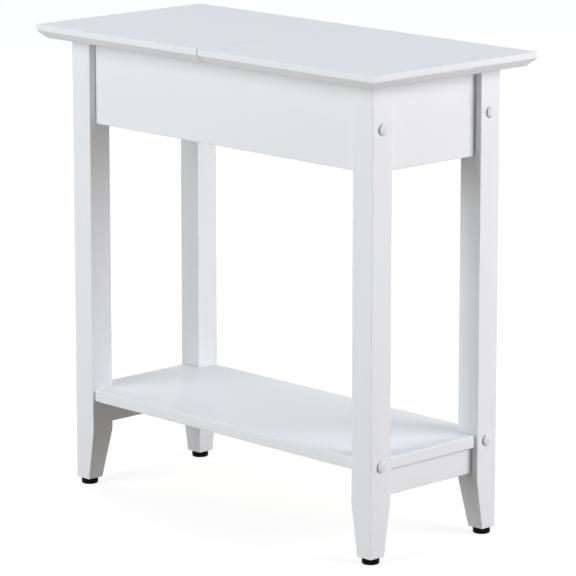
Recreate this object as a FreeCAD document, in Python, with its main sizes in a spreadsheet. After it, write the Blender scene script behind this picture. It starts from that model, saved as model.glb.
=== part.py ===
"""A slim lift top end table: two side frames, a storage box, a lower shelf and a top in two halves.

The right half of the top is a lid. It turns about the top edge of the seam on two barrel hinges
that are let into the seam faces, so no hinge shows while the table is closed.
Axes: X along the length, Y towards the back, Z up. The origin is on the floor, under the centre.
Lengths are in millimetres and angles in degrees.
"""

import FreeCAD
import Part
import Sketcher

import os

Vector = FreeCAD.Vector
Rotation = FreeCAD.Rotation

# Driving dimensions: alias, value, what it is.
SIZES = (
    ("overall_height", 610, "floor to the top surface"),
    ("top_length", 610, "both halves of the top together, along X"),
    ("top_depth", 286, "front to back"),
    ("top_thickness", 18, "board of both top halves"),
    ("top_band", 8, "upright part of the top's edge, above the bevel"),
    ("top_bevel", 10, "how far the bevel runs in under the edge"),
    ("top_arris", 1.2, "radius of the top's upper edges"),
    ("seam_gap", 1.5, "gap between the two halves"),
    ("leg_overhang", 32, "top's edge to the leg's outer face"),
    ("leg_side", 34, "square section of a leg"),
    ("leg_foot", 24, "square section of a leg at its foot"),
    ("leg_taper", 66, "height of the tapered stretch"),
    ("leg_arris", 1.2, "radius of the leg's long edges"),
    ("apron_height", 109, "front, rear and end boards of the storage box"),
    ("apron_thickness", 15, "same boards"),
    ("apron_recess", 10, "leg's outer face to the apron's face"),
    ("apron_arris", 1.5, "radius round the apron's face"),
    ("bottom_thickness", 6, "bottom panel of the storage box"),
    ("bottom_lift", 8, "apron's lower edge to the panel"),
    ("groove_depth", 5, "groove in the aprons for the panel"),
    ("panel_clearance", 0.3, "round the panel in its grooves and notches"),
    ("seam_rail_left", 40, "cross rail's reach to the left of the seam"),
    ("seam_rail_right", 15, "cross rail's ledge to the right of the seam"),
    ("seam_rail_thickness", 15, "same rail"),
    ("cleat_side", 15, "square battens that carry the fixed half"),
    ("cleat_gap", 4, "each end of a cleat to the leg and to the cross rail"),
    ("shelf_height", 131, "floor to the shelf's upper face"),
    ("shelf_thickness", 16, "shelf board"),
    ("shelf_inset", 4, "leg's outer face to the shelf's edge"),
    ("shelf_arris", 3, "radius of the shelf's upper edges"),
    ("shelf_under_arris", 1.5, "radius of the shelf's lower edges"),
    ("shelf_clearance", 1, "shelf's notch to the leg's inner face, front to back"),
    ("rail_height", 34, "lower end rails, under the shelf"),
    ("rail_thickness", 15, "same rails"),
    ("rail_recess", 10, "leg's outer face to the rail's face"),
    ("rail_arris", 1.5, "radius of the rail's outer edges"),
    ("glide_height", 8, "floor to the foot of the leg"),
    ("glide_diameter", 22, "black floor glides"),
    ("glide_neck", 18, "diameter of the glide's upper shoulder"),
    ("glide_shoulder", 1, "height of that shoulder"),
    ("glide_round", 1.8, "radius of the glide's rims"),
    ("nail_diameter", 2.5, "nail of a glide"),
    ("nail_length", 22, "same nail"),
    ("nail_start", 4, "floor to the nail's head"),
    ("bolt_diameter", 6, "leg bolts"),
    ("bolt_clearance", 0.6, "hole over bolt, on the diameter"),
    ("bolt_head", 10, "diameter of the bolt's head"),
    ("bolt_head_height", 4, "same head"),
    ("counterbore", 11, "diameter of the recess for the head and the cap"),
    ("counterbore_depth", 8, "same recess"),
    ("bolt_tip", 8, "bolt's end past the middle of its nut"),
    ("nut_diameter", 10, "cross dowel nuts"),
    ("nut_length", 12, "same nuts"),
    ("nut_setback", 20, "leg's inner face to the middle of the nut"),
    ("nut_thread_play", 0.1, "thread hole over bolt, on the diameter"),
    ("nut_play", 0.2, "hole over nut, on the diameter"),
    ("cap_diameter", 14.5, "white caps over the bolts"),
    ("cap_dome", 3.2, "height of the cap's dome"),
    ("cap_stem", 3, "how far the cap plugs into the recess"),
    ("cap_play", 0.2, "recess over the cap's stem, on the diameter"),
    ("dowel_diameter", 8, "beech dowels at the legs"),
    ("dowel_length", 30, "same dowels"),
    ("dowel_play", 0.1, "hole over dowel, on the diameter"),
    ("dowel_end_play", 0.5, "hole past each end of a dowel"),
    ("apron_dowel_margin", 20.5, "front board's upper and lower edges to its dowels"),
    ("end_dowel_margin", 36.5, "end board's upper and lower edges to its dowels"),
    ("rail_dowel_margin", 9, "rail's upper and lower edges to its dowels"),
    ("cross_dowel_diameter", 6, "dowels of the cross rail"),
    ("cross_dowel_length", 24, "same dowels"),
    ("cross_dowel_bite", 10, "how far they sit in the apron"),
    ("cross_dowel_spread", 16, "each dowel to the middle of the cross rail"),
    ("screw_diameter", 3.5, "wood screws"),
    ("screw_head", 7, "same screws"),
    ("screw_head_height", 2.6, "same screws"),
    ("screw_bite", 10, "how far a screw holds in the far board"),
    ("screw_play", 0.1, "hole over screw, on the diameter"),
    ("screw_margin", 28, "cleat's end to its nearest upright screw"),
    ("screw_step", 24, "upright screw to the level one beside it"),
    ("shelf_screw_margin", 37, "leg's inner face to the nearest shelf screw"),
    ("shelf_screw_well", 9, "diameter of the well under a shelf screw"),
    ("shelf_screw_well_depth", 10, "same well"),
    ("pad_diameter", 8, "soft pads that the lid lands on"),
    ("pad_thickness", 1.5, "same pads, set flush"),
    ("pad_play", 0.2, "recess over pad, on the diameter"),
    ("end_pad_margin", 27, "leg's inner face to the nearest pad in the end board"),
    ("rail_pad_margin", 31, "apron's inner face to the nearest pad in the cross rail"),
    ("rail_pad_setback", 8, "seam to the pads in the cross rail"),
    ("hinge_setback", 63, "top's front or rear edge to the middle of a hinge"),
    ("barrel_diameter", 14, "hinge barrels"),
    ("barrel_length", 16, "same barrels"),
    ("barrel_play", 0.2, "hole over barrel, on the diameter"),
    ("barrel_lip", 0.2, "barrel's face behind the seam face"),
    ("link_radius", 9.5, "hinge axis to the middle of the curved link"),
    ("link_thickness", 3, "curved link, across its curve"),
    ("link_width", 5, "curved link, along the hinge axis"),
    ("link_play", 0.25, "round the link in its slot"),
    ("slot_end_play", 2.5, "angle of the slot past each end of the link"),
    ("link_engagement", 12, "angle of the link still held in each barrel when open"),
    ("lid_travel", 100, "angle the lid opens to"),
    ("grub_diameter", 3, "grub screws that lock the barrels"),
    ("grub_length", 6, "same screws"),
    ("grub_setback", 3.5, "barrel's blind end to the grub screw"),
)

doc = FreeCAD.newDocument("LiftTopEndTable")
sheet = doc.addObject("Spreadsheet::Sheet", "Sizes")
for row, (alias, value, meaning) in enumerate(SIZES, start=1):
    sheet.set(f"A{row}", meaning)
    sheet.set(f"B{row}", str(value))
    sheet.setAlias(f"B{row}", alias)
doc.recompute()

# Levels and lines that several pieces share. Names with _x and _y are distances from the centre.
FRAME_TOP = "(Sizes.overall_height - Sizes.top_thickness)"
LEG_OUT_X = "(Sizes.top_length / 2 - Sizes.leg_overhang)"
LEG_OUT_Y = "(Sizes.top_depth / 2 - Sizes.leg_overhang)"
LEG_IN_X = f"({LEG_OUT_X} - Sizes.leg_side)"
LEG_IN_Y = f"({LEG_OUT_Y} - Sizes.leg_side)"
APRON_FACE_X = f"({LEG_OUT_X} - Sizes.apron_recess)"
APRON_FACE_Y = f"({LEG_OUT_Y} - Sizes.apron_recess)"
APRON_BACK_X = f"({APRON_FACE_X} - Sizes.apron_thickness)"
APRON_BACK_Y = f"({APRON_FACE_Y} - Sizes.apron_thickness)"
APRON_MID_X = f"({APRON_FACE_X} - Sizes.apron_thickness / 2)"
APRON_MID_Y = f"({APRON_FACE_Y} - Sizes.apron_thickness / 2)"
APRON_LOW = f"({FRAME_TOP} - Sizes.apron_height)"
APRON_MID_Z = f"({FRAME_TOP} - Sizes.apron_height / 2)"
PANEL_LOW = f"({APRON_LOW} + Sizes.bottom_lift)"
SHELF_LOW = "(Sizes.shelf_height - Sizes.shelf_thickness)"
SHELF_MID_Z = "(Sizes.shelf_height - Sizes.shelf_thickness / 2)"
RAIL_FACE_X = f"({LEG_OUT_X} - Sizes.rail_recess)"
RAIL_MID_X = f"({RAIL_FACE_X} - Sizes.rail_thickness / 2)"
RAIL_LOW = f"({SHELF_LOW} - Sizes.rail_height)"
SEAM_FACE = "(Sizes.seam_gap / 2)"
TOP_MID_Z = "(Sizes.overall_height - Sizes.top_thickness / 2)"
CROSS_RAIL_LOW = f"({FRAME_TOP} - Sizes.seam_rail_thickness)"
CLEAT_LOW = f"({FRAME_TOP} - Sizes.cleat_side)"
CLEAT_OUT_X = f"({LEG_IN_X} - Sizes.cleat_gap)"
CLEAT_IN_X = "(Sizes.seam_rail_left + Sizes.cleat_gap)"
CLEAT_MID_Y = f"({APRON_BACK_Y} - Sizes.cleat_side / 2)"

TURNS = {
    "+X": Rotation(Vector(0, 1, 0), 90),
    "-X": Rotation(Vector(0, 1, 0), -90),
    "+Y": Rotation(Vector(1, 0, 0), -90),
    "-Y": Rotation(Vector(1, 0, 0), 90),
    "+Z": Rotation(),
}
ACROSS_LENGTH = Vector(1, 0, 0)
ACROSS_DEPTH = Vector(0, 1, 0)

nodes = []


def minus(expression):
    return f"-{expression}"


def bind(item, **expressions):
    """Ties properties of an object to expressions of the sheet."""
    for name, expression in expressions.items():
        item.setExpression(name, expression)
    return item


def place(item, x, y, z):
    """Ties the place of an object, and leaves its turn as it is."""
    for axis, expression in zip("xyz", (x, y, z)):
        item.setExpression("Placement.Base." + axis, expression)
    return item


# ---- Sketches and bodies ----


def body(name):
    return doc.addObject("PartDesign::Body", name)


def sketch_on(piece, name, role, offset="0"):
    """A sketch on one of the body's origin planes, moved along the plane's normal."""
    drawing = piece.newObject("Sketcher::SketchObject", name)
    support = [p for p in piece.Origin.OriginFeatures if p.Role == role]
    drawing.AttachmentSupport = [(support[0], "")]
    drawing.MapMode = "FlatFace"
    if offset != "0":
        drawing.setExpression("AttachmentOffset.Base.z", offset)
    return drawing


def fix_point(drawing, geometry, point, x, y):
    """Ties a point of a sketch to distances from the sketch's origin."""
    for way, axis, expression in (("DistanceX", -2, x), ("DistanceY", -1, y)):
        if expression == "0":
            drawing.addConstraint(Sketcher.Constraint("PointOnObject", geometry, point, axis))
            continue
        below = expression.startswith("-")
        ends = (geometry, point, -1, 1) if below else (-1, 1, geometry, point)
        index = drawing.addConstraint(Sketcher.Constraint(way, *ends, 5.0))
        drawing.renameConstraint(index, f"at{index}")
        drawing.setExpression(f"Constraints.at{index}", expression.lstrip("-"))


ROUGH_STEP = Vector(10, 7, 0)


def outline(piece, name, role, points, offset="0"):
    """A closed outline of straight lines through points given as pairs of expressions.

    The points start at rough places, a step apart, from which the constraints move them.
    """
    drawing = sketch_on(piece, name, role, offset)
    count = len(points)
    rows = [(i * i) % count + 1 for i in range(count)]
    ring = [Vector(ROUGH_STEP.x * (i + 1), ROUGH_STEP.y * rows[i], 0) for i in range(count)]
    for i in range(count):
        drawing.addGeometry(Part.LineSegment(ring[i], ring[(i + 1) % count]), False)
    for i in range(count):
        follower = (i + 1) % count
        drawing.addConstraint(Sketcher.Constraint("Coincident", i, 2, follower, 1))
    for i, (x, y) in enumerate(points):
        fix_point(drawing, i, 1, x, y)
    return drawing


def rectangle(piece, name, role, x_low, x_high, y_low, y_high, offset="0"):
    corners = [(x_low, y_low), (x_high, y_low), (x_high, y_high), (x_low, y_high)]
    return outline(piece, name, role, corners, offset)


def disc(piece, name, role, x, y, diameter, offset="0"):
    drawing = sketch_on(piece, name, role, offset)
    drawing.addGeometry(Part.Circle(Vector(3, 3, 0), Vector(0, 0, 1), 4), False)
    fix_point(drawing, 0, 3, x, y)
    index = drawing.addConstraint(Sketcher.Constraint("Diameter", 0, 8.0))
    drawing.renameConstraint(index, "across")
    drawing.setExpression("Constraints.across", diameter)
    return drawing


def pad(piece, drawing, length, backwards=False):
    feature = piece.newObject("PartDesign::Pad", piece.Name + "_pad")
    feature.Profile = drawing
    feature.Reversed = backwards
    return bind(feature, Length=length)


def pocket_through(piece, drawing, backwards=False):
    """A cut through the whole piece, which has to take material away."""
    doc.recompute()
    before = piece.Shape.Volume
    feature = piece.newObject("PartDesign::Pocket", drawing.Name + "_cut")
    feature.Profile = drawing
    feature.Type = "ThroughAll"
    feature.Reversed = backwards
    doc.recompute()
    if piece.Shape.Volume >= before:
        raise RuntimeError(f"{drawing.Name} cuts nothing")
    return feature


def turn(piece, kind, drawing, axis, angle):
    """A revolution or groove about an axis of its sketch, half of the angle each way."""
    feature = piece.newObject("PartDesign::" + kind, drawing.Name + "_turn")
    feature.Profile = drawing
    feature.ReferenceAxis = (drawing, [axis])
    feature.Midplane = True
    return bind(feature, Angle=angle)


def edges_where(shape, test):
    """Names of the edges whose two ends and middle pass the test."""
    names = []
    for number, edge in enumerate(shape.Edges, start=1):
        ends = [v.Point for v in edge.Vertexes]
        middle = edge.valueAt((edge.FirstParameter + edge.LastParameter) / 2)
        if all(test(p) for p in [*ends, middle]):
            names.append(f"Edge{number}")
    return names


def round_edges(piece, name, radius, chosen):
    """Rounds the named edges of the piece as it is so far."""
    if not chosen:
        raise RuntimeError(f"{name} finds no edge")
    tip = piece.Tip
    feature = piece.newObject("PartDesign::Fillet", name)
    feature.Base = (tip, chosen)
    bind(feature, Radius=radius)
    doc.recompute()
    return feature


def soften(piece, name, radius, test):
    """Rounds the edges that pass the test."""
    doc.recompute()
    return round_edges(piece, name, radius, edges_where(piece.Tip.Shape, test))


# ---- Primitives, mirrors and cuts in the table's own frame ----


def rod(name, way, x, y, z, length, diameter):
    """A round bar that starts at a point and runs one way."""
    bar = doc.addObject("Part::Cylinder", name)
    bar.Placement = FreeCAD.Placement(Vector(), TURNS[way])
    bind(bar, Radius=f"({diameter}) / 2", Height=length)
    return place(bar, x, y, z)


def screw(name, way, x, y, z, length, play="0"):
    """A countersunk wood screw whose head is flush at the starting point, or the hole for it."""
    across = f"(Sizes.screw_diameter + {play})"
    shank = rod(name + "_shank", way, x, y, z, length, across)
    head = doc.addObject("Part::Cone", name + "_head")
    head.Placement = FreeCAD.Placement(Vector(), TURNS[way])
    bind(head, Radius1=f"(Sizes.screw_head + {play}) / 2", Radius2=f"{across} / 2")
    bind(head, Height="Sizes.screw_head_height")
    place(head, x, y, z)
    return fuse(name, [shank, head])


def fuse(name, items):
    whole = doc.addObject("Part::MultiFuse", name)
    whole.Shapes = items
    return whole


def group(name, items):
    """Separate solids that share one node."""
    whole = doc.addObject("Part::Compound", name)
    whole.Links = items
    return whole


def mirror(name, source, normal):
    image = doc.addObject("Part::Mirroring", name)
    image.Source = source
    image.Normal = normal
    return image


def both_ends(name, item):
    """The item and its image at the other end of the table."""
    return [item, mirror(name + "_right", item, ACROSS_LENGTH)]


def front_and_back(name, item):
    """The item and its image at the other side of the table."""
    return [item, mirror(name + "_rear", item, ACROSS_DEPTH)]


def four_corners(name, item):
    """The item at the front left corner, and its images at the other three."""
    front = both_ends(name, item)
    return front + [mirror(f"{name}_rear_{i}", part, ACROSS_DEPTH) for i, part in enumerate(front)]


def cut(name, base, tools):
    remainder = doc.addObject("Part::Cut", name)
    remainder.Base = base
    remainder.Tool = tools[0] if len(tools) == 1 else fuse(name + "_tools", tools)
    return remainder


def node(item, label):
    """Keeps an object as a sub-part, under the name of its file."""
    item.Label = label
    nodes.append(item)
    return item


# ---- Holes that several boards share, at the front left corner ----


def leg_bolt_bore(name, z):
    """Clearance hole through the leg and into the board behind it."""
    bore = "(Sizes.bolt_diameter + Sizes.bolt_clearance)"
    reach = "(Sizes.leg_side + Sizes.nut_setback + Sizes.bolt_tip + Sizes.nut_play)"
    return rod(name, "+X", minus(LEG_OUT_X), minus(APRON_MID_Y), z, reach, bore)


def leg_counterbore(name, z):
    return rod(
        name,
        "+X",
        minus(LEG_OUT_X),
        minus(APRON_MID_Y),
        z,
        "Sizes.counterbore_depth",
        "Sizes.counterbore",
    )


def dowel_start(inner, play):
    """Where a dowel that is centred on the leg's inner face begins."""
    return f"-({inner} + Sizes.dowel_length / 2 + {play})"


def lengthways_dowel(name, z, hole=False):
    """Dowel between a leg and the front board, or the hole for it."""
    play = "Sizes.dowel_end_play" if hole else "0"
    across = "Sizes.dowel_diameter + Sizes.dowel_play" if hole else "Sizes.dowel_diameter"
    length = f"Sizes.dowel_length + 2 * {play}"
    return rod(name, "+X", dowel_start(LEG_IN_X, play), minus(APRON_MID_Y), z, length, across)


def crossways_dowel(name, x, z, hole=False):
    """Dowel between a leg and an end board or rail, or the hole for it."""
    play = "Sizes.dowel_end_play" if hole else "0"
    across = "Sizes.dowel_diameter + Sizes.dowel_play" if hole else "Sizes.dowel_diameter"
    length = f"Sizes.dowel_length + 2 * {play}"
    return rod(name, "+Y", minus(x), dowel_start(LEG_IN_Y, play), z, length, across)


APRON_DOWELS = (
    f"{FRAME_TOP} - Sizes.apron_dowel_margin",
    f"{APRON_LOW} + Sizes.apron_dowel_margin",
)
END_DOWELS = (
    f"{FRAME_TOP} - Sizes.end_dowel_margin",
    f"{APRON_LOW} + Sizes.end_dowel_margin",
)
RAIL_DOWELS = (
    f"{SHELF_LOW} - Sizes.rail_dowel_margin",
    f"{RAIL_LOW} + Sizes.rail_dowel_margin",
)

upper_bore = leg_bolt_bore("upper_bolt_bore", APRON_MID_Z)
lower_bore = leg_bolt_bore("lower_bolt_bore", SHELF_MID_Z)
apron_dowel_holes = [
    lengthways_dowel(f"apron_dowel_hole_{i}", z, hole=True) for i, z in enumerate(APRON_DOWELS)
]
end_dowel_holes = [
    crossways_dowel(f"end_dowel_hole_{i}", APRON_MID_X, z, hole=True)
    for i, z in enumerate(END_DOWELS)
]
rail_dowel_holes = [
    crossways_dowel(f"rail_dowel_hole_{i}", RAIL_MID_X, z, hole=True)
    for i, z in enumerate(RAIL_DOWELS)
]


GLIDE_X = f"({LEG_OUT_X} - Sizes.leg_foot / 2)"
GLIDE_Y = f"({LEG_OUT_Y} - Sizes.leg_foot / 2)"


# ---- Legs: square posts, tapered at the foot on their two inner faces ----


def make_legs():
    post = body("leg_post")
    square = rectangle(post, "leg_square", "XY_Plane", "0", "Sizes.leg_side", "0", "Sizes.leg_side")
    pad(post, square, f"{FRAME_TOP} - Sizes.glide_height")
    wedge = (
        ("Sizes.leg_foot", "0"),
        ("Sizes.leg_side", "0"),
        ("Sizes.leg_side", "Sizes.leg_taper"),
    )
    pocket_through(post, outline(post, "taper_lengthways", "XZ_Plane", wedge))
    pocket_through(post, outline(post, "taper_crossways", "YZ_Plane", wedge), backwards=True)
    doc.recompute()
    shape = post.Tip.Shape
    rising = [f"Edge{i}" for i, e in enumerate(shape.Edges, start=1) if e.BoundBox.ZLength > 1]
    round_edges(post, "leg_long_edges", "Sizes.leg_arris", rising)
    place(post, minus(LEG_OUT_X), minus(LEG_OUT_Y), "Sizes.glide_height")

    nail_reach = "Sizes.nail_start + Sizes.nail_length - Sizes.glide_height + Sizes.dowel_end_play"
    nail_hole = rod(
        "leg_nail_hole",
        "+Z",
        minus(GLIDE_X),
        minus(GLIDE_Y),
        "Sizes.glide_height",
        nail_reach,
        "Sizes.nail_diameter + Sizes.dowel_play",
    )
    holes = [
        upper_bore,
        lower_bore,
        leg_counterbore("upper_counterbore", APRON_MID_Z),
        leg_counterbore("lower_counterbore", SHELF_MID_Z),
        nail_hole,
        *apron_dowel_holes,
        *end_dowel_holes,
        *rail_dowel_holes,
    ]
    front_left = node(cut("leg_front_left", post, holes), "leg_front_left")
    front_right = node(mirror("leg_front_right", front_left, ACROSS_LENGTH), "leg_front_right")
    node(mirror("leg_rear_left", front_left, ACROSS_DEPTH), "leg_rear_left")
    node(mirror("leg_rear_right", front_right, ACROSS_DEPTH), "leg_rear_right")


# ---- Storage box: four boards, a bottom panel let into grooves, and a cross rail ----


def face_board(name, along, length, thickness, height, radius):
    """A board whose outer face lies on its own Y zero, or on X zero when it runs along Y.

    The edges round the face are eased, apart from the one at the top."""
    board = body(name)
    if along == "X":
        plan = rectangle(board, name + "_plan", "XY_Plane", "0", length, "0", thickness)
    else:
        plan = rectangle(board, name + "_plan", "XY_Plane", "0", thickness, "0", length)
    pad(board, plan, height)
    doc.recompute()
    top = board.Shape.BoundBox.ZMax
    near = 1e-6

    def round_the_face(p):
        depth = p.y if along == "X" else p.x
        return abs(depth) < near

    chosen = []
    for number, edge in enumerate(board.Shape.Edges, start=1):
        ends = [v.Point for v in edge.Vertexes]
        on_top = all(abs(p.z - top) < near for p in ends)
        if all(round_the_face(p) for p in ends) and not on_top:
            chosen.append(f"Edge{number}")
    round_edges(board, name + "_arris", radius, chosen)
    return board


def make_aprons():
    front = face_board(
        "apron_front_board",
        "X",
        f"2 * {LEG_IN_X}",
        "Sizes.apron_thickness",
        "Sizes.apron_height",
        "Sizes.apron_arris",
    )
    place(front, minus(LEG_IN_X), minus(APRON_FACE_Y), APRON_LOW)
    side = face_board(
        "apron_end_board",
        "Y",
        f"2 * {LEG_IN_Y}",
        "Sizes.apron_thickness",
        "Sizes.apron_height",
        "Sizes.apron_arris",
    )
    place(side, minus(APRON_FACE_X), minus(LEG_IN_Y), APRON_LOW)

    groove = body("panel_groove")
    lips = rectangle(
        groove,
        "groove_plan",
        "XY_Plane",
        f"-({APRON_BACK_X} + Sizes.groove_depth)",
        f"{APRON_BACK_X} + Sizes.groove_depth",
        f"-({APRON_BACK_Y} + Sizes.groove_depth)",
        f"{APRON_BACK_Y} + Sizes.groove_depth",
    )
    pad(groove, lips, "Sizes.bottom_thickness + Sizes.panel_clearance")
    place(groove, "0", "0", PANEL_LOW)

    nut_hole = rod(
        "apron_nut_hole",
        "-Y",
        f"-({LEG_IN_X} - Sizes.nut_setback)",
        minus(APRON_BACK_Y),
        APRON_MID_Z,
        "Sizes.apron_thickness / 2 + Sizes.nut_length / 2",
        "Sizes.nut_diameter + Sizes.nut_play",
    )
    end_holes = fuse("apron_end_holes", [upper_bore, nut_hole, *apron_dowel_holes])
    level_screws = [
        screw(f"level_screw_hole_{i}", "-Y", x, minus(CLEAT_INNER_Y), CLEAT_MID_Z, LEVEL_SCREW, PLAY)
        for i, x in enumerate(LEVEL_SCREW_X)
    ]
    cross_holes = [
        cross_dowel(f"cross_dowel_hole_{i}", x, hole=True) for i, x in enumerate(CROSS_DOWEL_X)
    ]
    tools = [*both_ends("apron_end_holes", end_holes), groove, *level_screws, *cross_holes]
    apron_front = node(cut("apron_front", front, tools), "apron_front")
    node(mirror("apron_rear", apron_front, ACROSS_DEPTH), "apron_rear")

    left_tools = [groove, *sum((front_and_back(h.Name + "_end", h) for h in end_dowel_holes), [])]
    apron_left = node(cut("apron_left", side, left_tools), "apron_left")
    right = mirror("apron_right_board", apron_left, ACROSS_LENGTH)
    recesses = [
        pad_disc(f"end_pad_recess_{i}", APRON_MID_X, y, recess=True) for i, y in enumerate(END_PAD_Y)
    ]
    node(cut("apron_right", right, recesses), "apron_right")


def cross_dowel(name, x, hole=False):
    """Dowel between the front board and the cross rail, or the hole for it."""
    play = "Sizes.dowel_end_play" if hole else "0"
    across = "Sizes.cross_dowel_diameter"
    if hole:
        across += " + Sizes.dowel_play"
    start = f"-({APRON_BACK_Y} + Sizes.cross_dowel_bite + {play})"
    length = f"Sizes.cross_dowel_length + 2 * {play}"
    middle = f"{FRAME_TOP} - Sizes.seam_rail_thickness / 2"
    return rod(name, "+Y", x, start, middle, length, across)


CROSS_RAIL_MID_X = "(Sizes.seam_rail_right - Sizes.seam_rail_left) / 2"
CROSS_DOWEL_X = (
    f"{CROSS_RAIL_MID_X} - Sizes.cross_dowel_spread",
    f"{CROSS_RAIL_MID_X} + Sizes.cross_dowel_spread",
)
CLEAT_MID_Z = f"({FRAME_TOP} - Sizes.cleat_side / 2)"
CLEAT_INNER_Y = f"({APRON_BACK_Y} - Sizes.cleat_side)"
LEVEL_SCREW = "Sizes.cleat_side + Sizes.screw_bite"
PLAY = "Sizes.screw_play"
UPRIGHT_SCREW_X = (
    f"-({CLEAT_OUT_X} - Sizes.screw_margin)",
    f"-({CLEAT_IN_X} + Sizes.screw_margin)",
)
LEVEL_SCREW_X = (
    f"-({CLEAT_OUT_X} - Sizes.screw_margin - Sizes.screw_step)",
    f"-({CLEAT_IN_X} + Sizes.screw_margin + Sizes.screw_step)",
)
END_PAD = f"({LEG_IN_Y} - Sizes.end_pad_margin)"
END_PAD_Y = (minus(END_PAD), END_PAD)
RAIL_PAD = f"({APRON_BACK_Y} - Sizes.rail_pad_margin)"
RAIL_PAD_Y = (minus(RAIL_PAD), RAIL_PAD)


def pad_disc(name, x, y, recess=False):
    """A soft pad that the lid lands on, or the recess for it."""
    across = "Sizes.pad_diameter"
    if recess:
        across += " + Sizes.pad_play"
    low = f"{FRAME_TOP} - Sizes.pad_thickness"
    return rod(name, "+Z", x, y, low, "Sizes.pad_thickness", across)


def make_storage_bottom():
    """A thin panel in the grooves, notched round the four legs."""
    out_x = f"({APRON_BACK_X} + Sizes.groove_depth - Sizes.panel_clearance)"
    out_y = f"({APRON_BACK_Y} + Sizes.groove_depth - Sizes.panel_clearance)"
    in_x = f"({LEG_IN_X} - Sizes.panel_clearance)"
    in_y = f"({LEG_IN_Y} - Sizes.panel_clearance)"
    panel = body("storage_bottom")
    plan = outline(panel, "bottom_plan", "XY_Plane", notched_plan(out_x, out_y, in_x, in_y))
    pad(panel, plan, "Sizes.bottom_thickness")
    place(panel, "0", "0", PANEL_LOW)
    node(panel, "storage_bottom")


def notched_plan(out_x, out_y, in_x, in_y):
    """A rectangle about the centre with a notch at each corner."""
    return [
        (minus(in_x), minus(out_y)),
        (in_x, minus(out_y)),
        (in_x, minus(in_y)),
        (out_x, minus(in_y)),
        (out_x, in_y),
        (in_x, in_y),
        (in_x, out_y),
        (minus(in_x), out_y),
        (minus(in_x), in_y),
        (minus(out_x), in_y),
        (minus(out_x), minus(in_y)),
        (minus(in_x), minus(in_y)),
    ]


def make_cross_rail():
    """The rail under the seam. The fixed half lies on its left, and the lid lands on its ledge."""
    rail = body("seam_rail_board")
    plan = rectangle(
        rail,
        "seam_rail_plan",
        "XY_Plane",
        "-Sizes.seam_rail_left",
        "Sizes.seam_rail_right",
        minus(APRON_BACK_Y),
        APRON_BACK_Y,
    )
    pad(rail, plan, "Sizes.seam_rail_thickness")
    place(rail, "0", "0", CROSS_RAIL_LOW)
    tools = [
        pad_disc(f"rail_pad_recess_{i}", "Sizes.rail_pad_setback", y, recess=True)
        for i, y in enumerate(RAIL_PAD_Y)
    ]
    for i, x in enumerate(CROSS_DOWEL_X):
        hole = cross_dowel(f"rail_end_hole_{i}", x, hole=True)
        tools += front_and_back(f"rail_end_hole_{i}", hole)
    node(cut("seam_rail", rail, tools), "seam_rail")


# ---- Cleats and their screws, which hold the fixed half down ----


def upright_screw(name, x, play="0"):
    length = "Sizes.cleat_side + Sizes.screw_bite"
    return screw(name, "+Z", x, minus(CLEAT_MID_Y), CLEAT_LOW, length, play)


def make_cleats():
    batten = body("cleat_batten")
    section = rectangle(
        batten, "cleat_section", "YZ_Plane", "0", "Sizes.cleat_side", "0", "Sizes.cleat_side"
    )
    pad(batten, section, f"{CLEAT_OUT_X} - {CLEAT_IN_X}")
    place(batten, minus(CLEAT_OUT_X), minus(APRON_BACK_Y), CLEAT_LOW)
    holes = [upright_screw(f"upright_hole_{i}", x, PLAY) for i, x in enumerate(UPRIGHT_SCREW_X)]
    holes += [
        screw(f"level_hole_{i}", "-Y", x, minus(CLEAT_INNER_Y), CLEAT_MID_Z, LEVEL_SCREW, PLAY)
        for i, x in enumerate(LEVEL_SCREW_X)
    ]
    front = node(cut("cleat_front", batten, holes), "cleat_front")
    node(mirror("cleat_rear", front, ACROSS_DEPTH), "cleat_rear")

    screws = [upright_screw(f"upright_screw_{i}", x) for i, x in enumerate(UPRIGHT_SCREW_X)]
    screws += [
        screw(f"level_screw_{i}", "-Y", x, minus(CLEAT_INNER_Y), CLEAT_MID_Z, LEVEL_SCREW)
        for i, x in enumerate(LEVEL_SCREW_X)
    ]
    solids = sum((front_and_back(s.Name, s) for s in screws), [])
    node(group("cleat_screws", solids), "cleat_screws")


# ---- Top: two halves with a bevel under three edges, and the hinges in the seam ----


def hinge_rod(name, x, y, length, diameter):
    """A round hole or bar that runs left from the seam, at the middle of the board."""
    return rod(name, "-X", x, y, TOP_MID_Z, length, diameter)


HINGE = "(Sizes.top_depth / 2 - Sizes.hinge_setback)"
HINGE_Y = (minus(HINGE), HINGE)
BARREL_FACE = f"({SEAM_FACE} + Sizes.barrel_lip)"
BARREL_END = f"({BARREL_FACE} + Sizes.barrel_length)"
GRUB_X = f"({BARREL_END} - Sizes.grub_setback)"


def grub(name, y, play="0"):
    across = f"Sizes.grub_diameter + {play}"
    return rod(name, "+Z", minus(GRUB_X), y, FRAME_TOP, "Sizes.grub_length", across)


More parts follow.
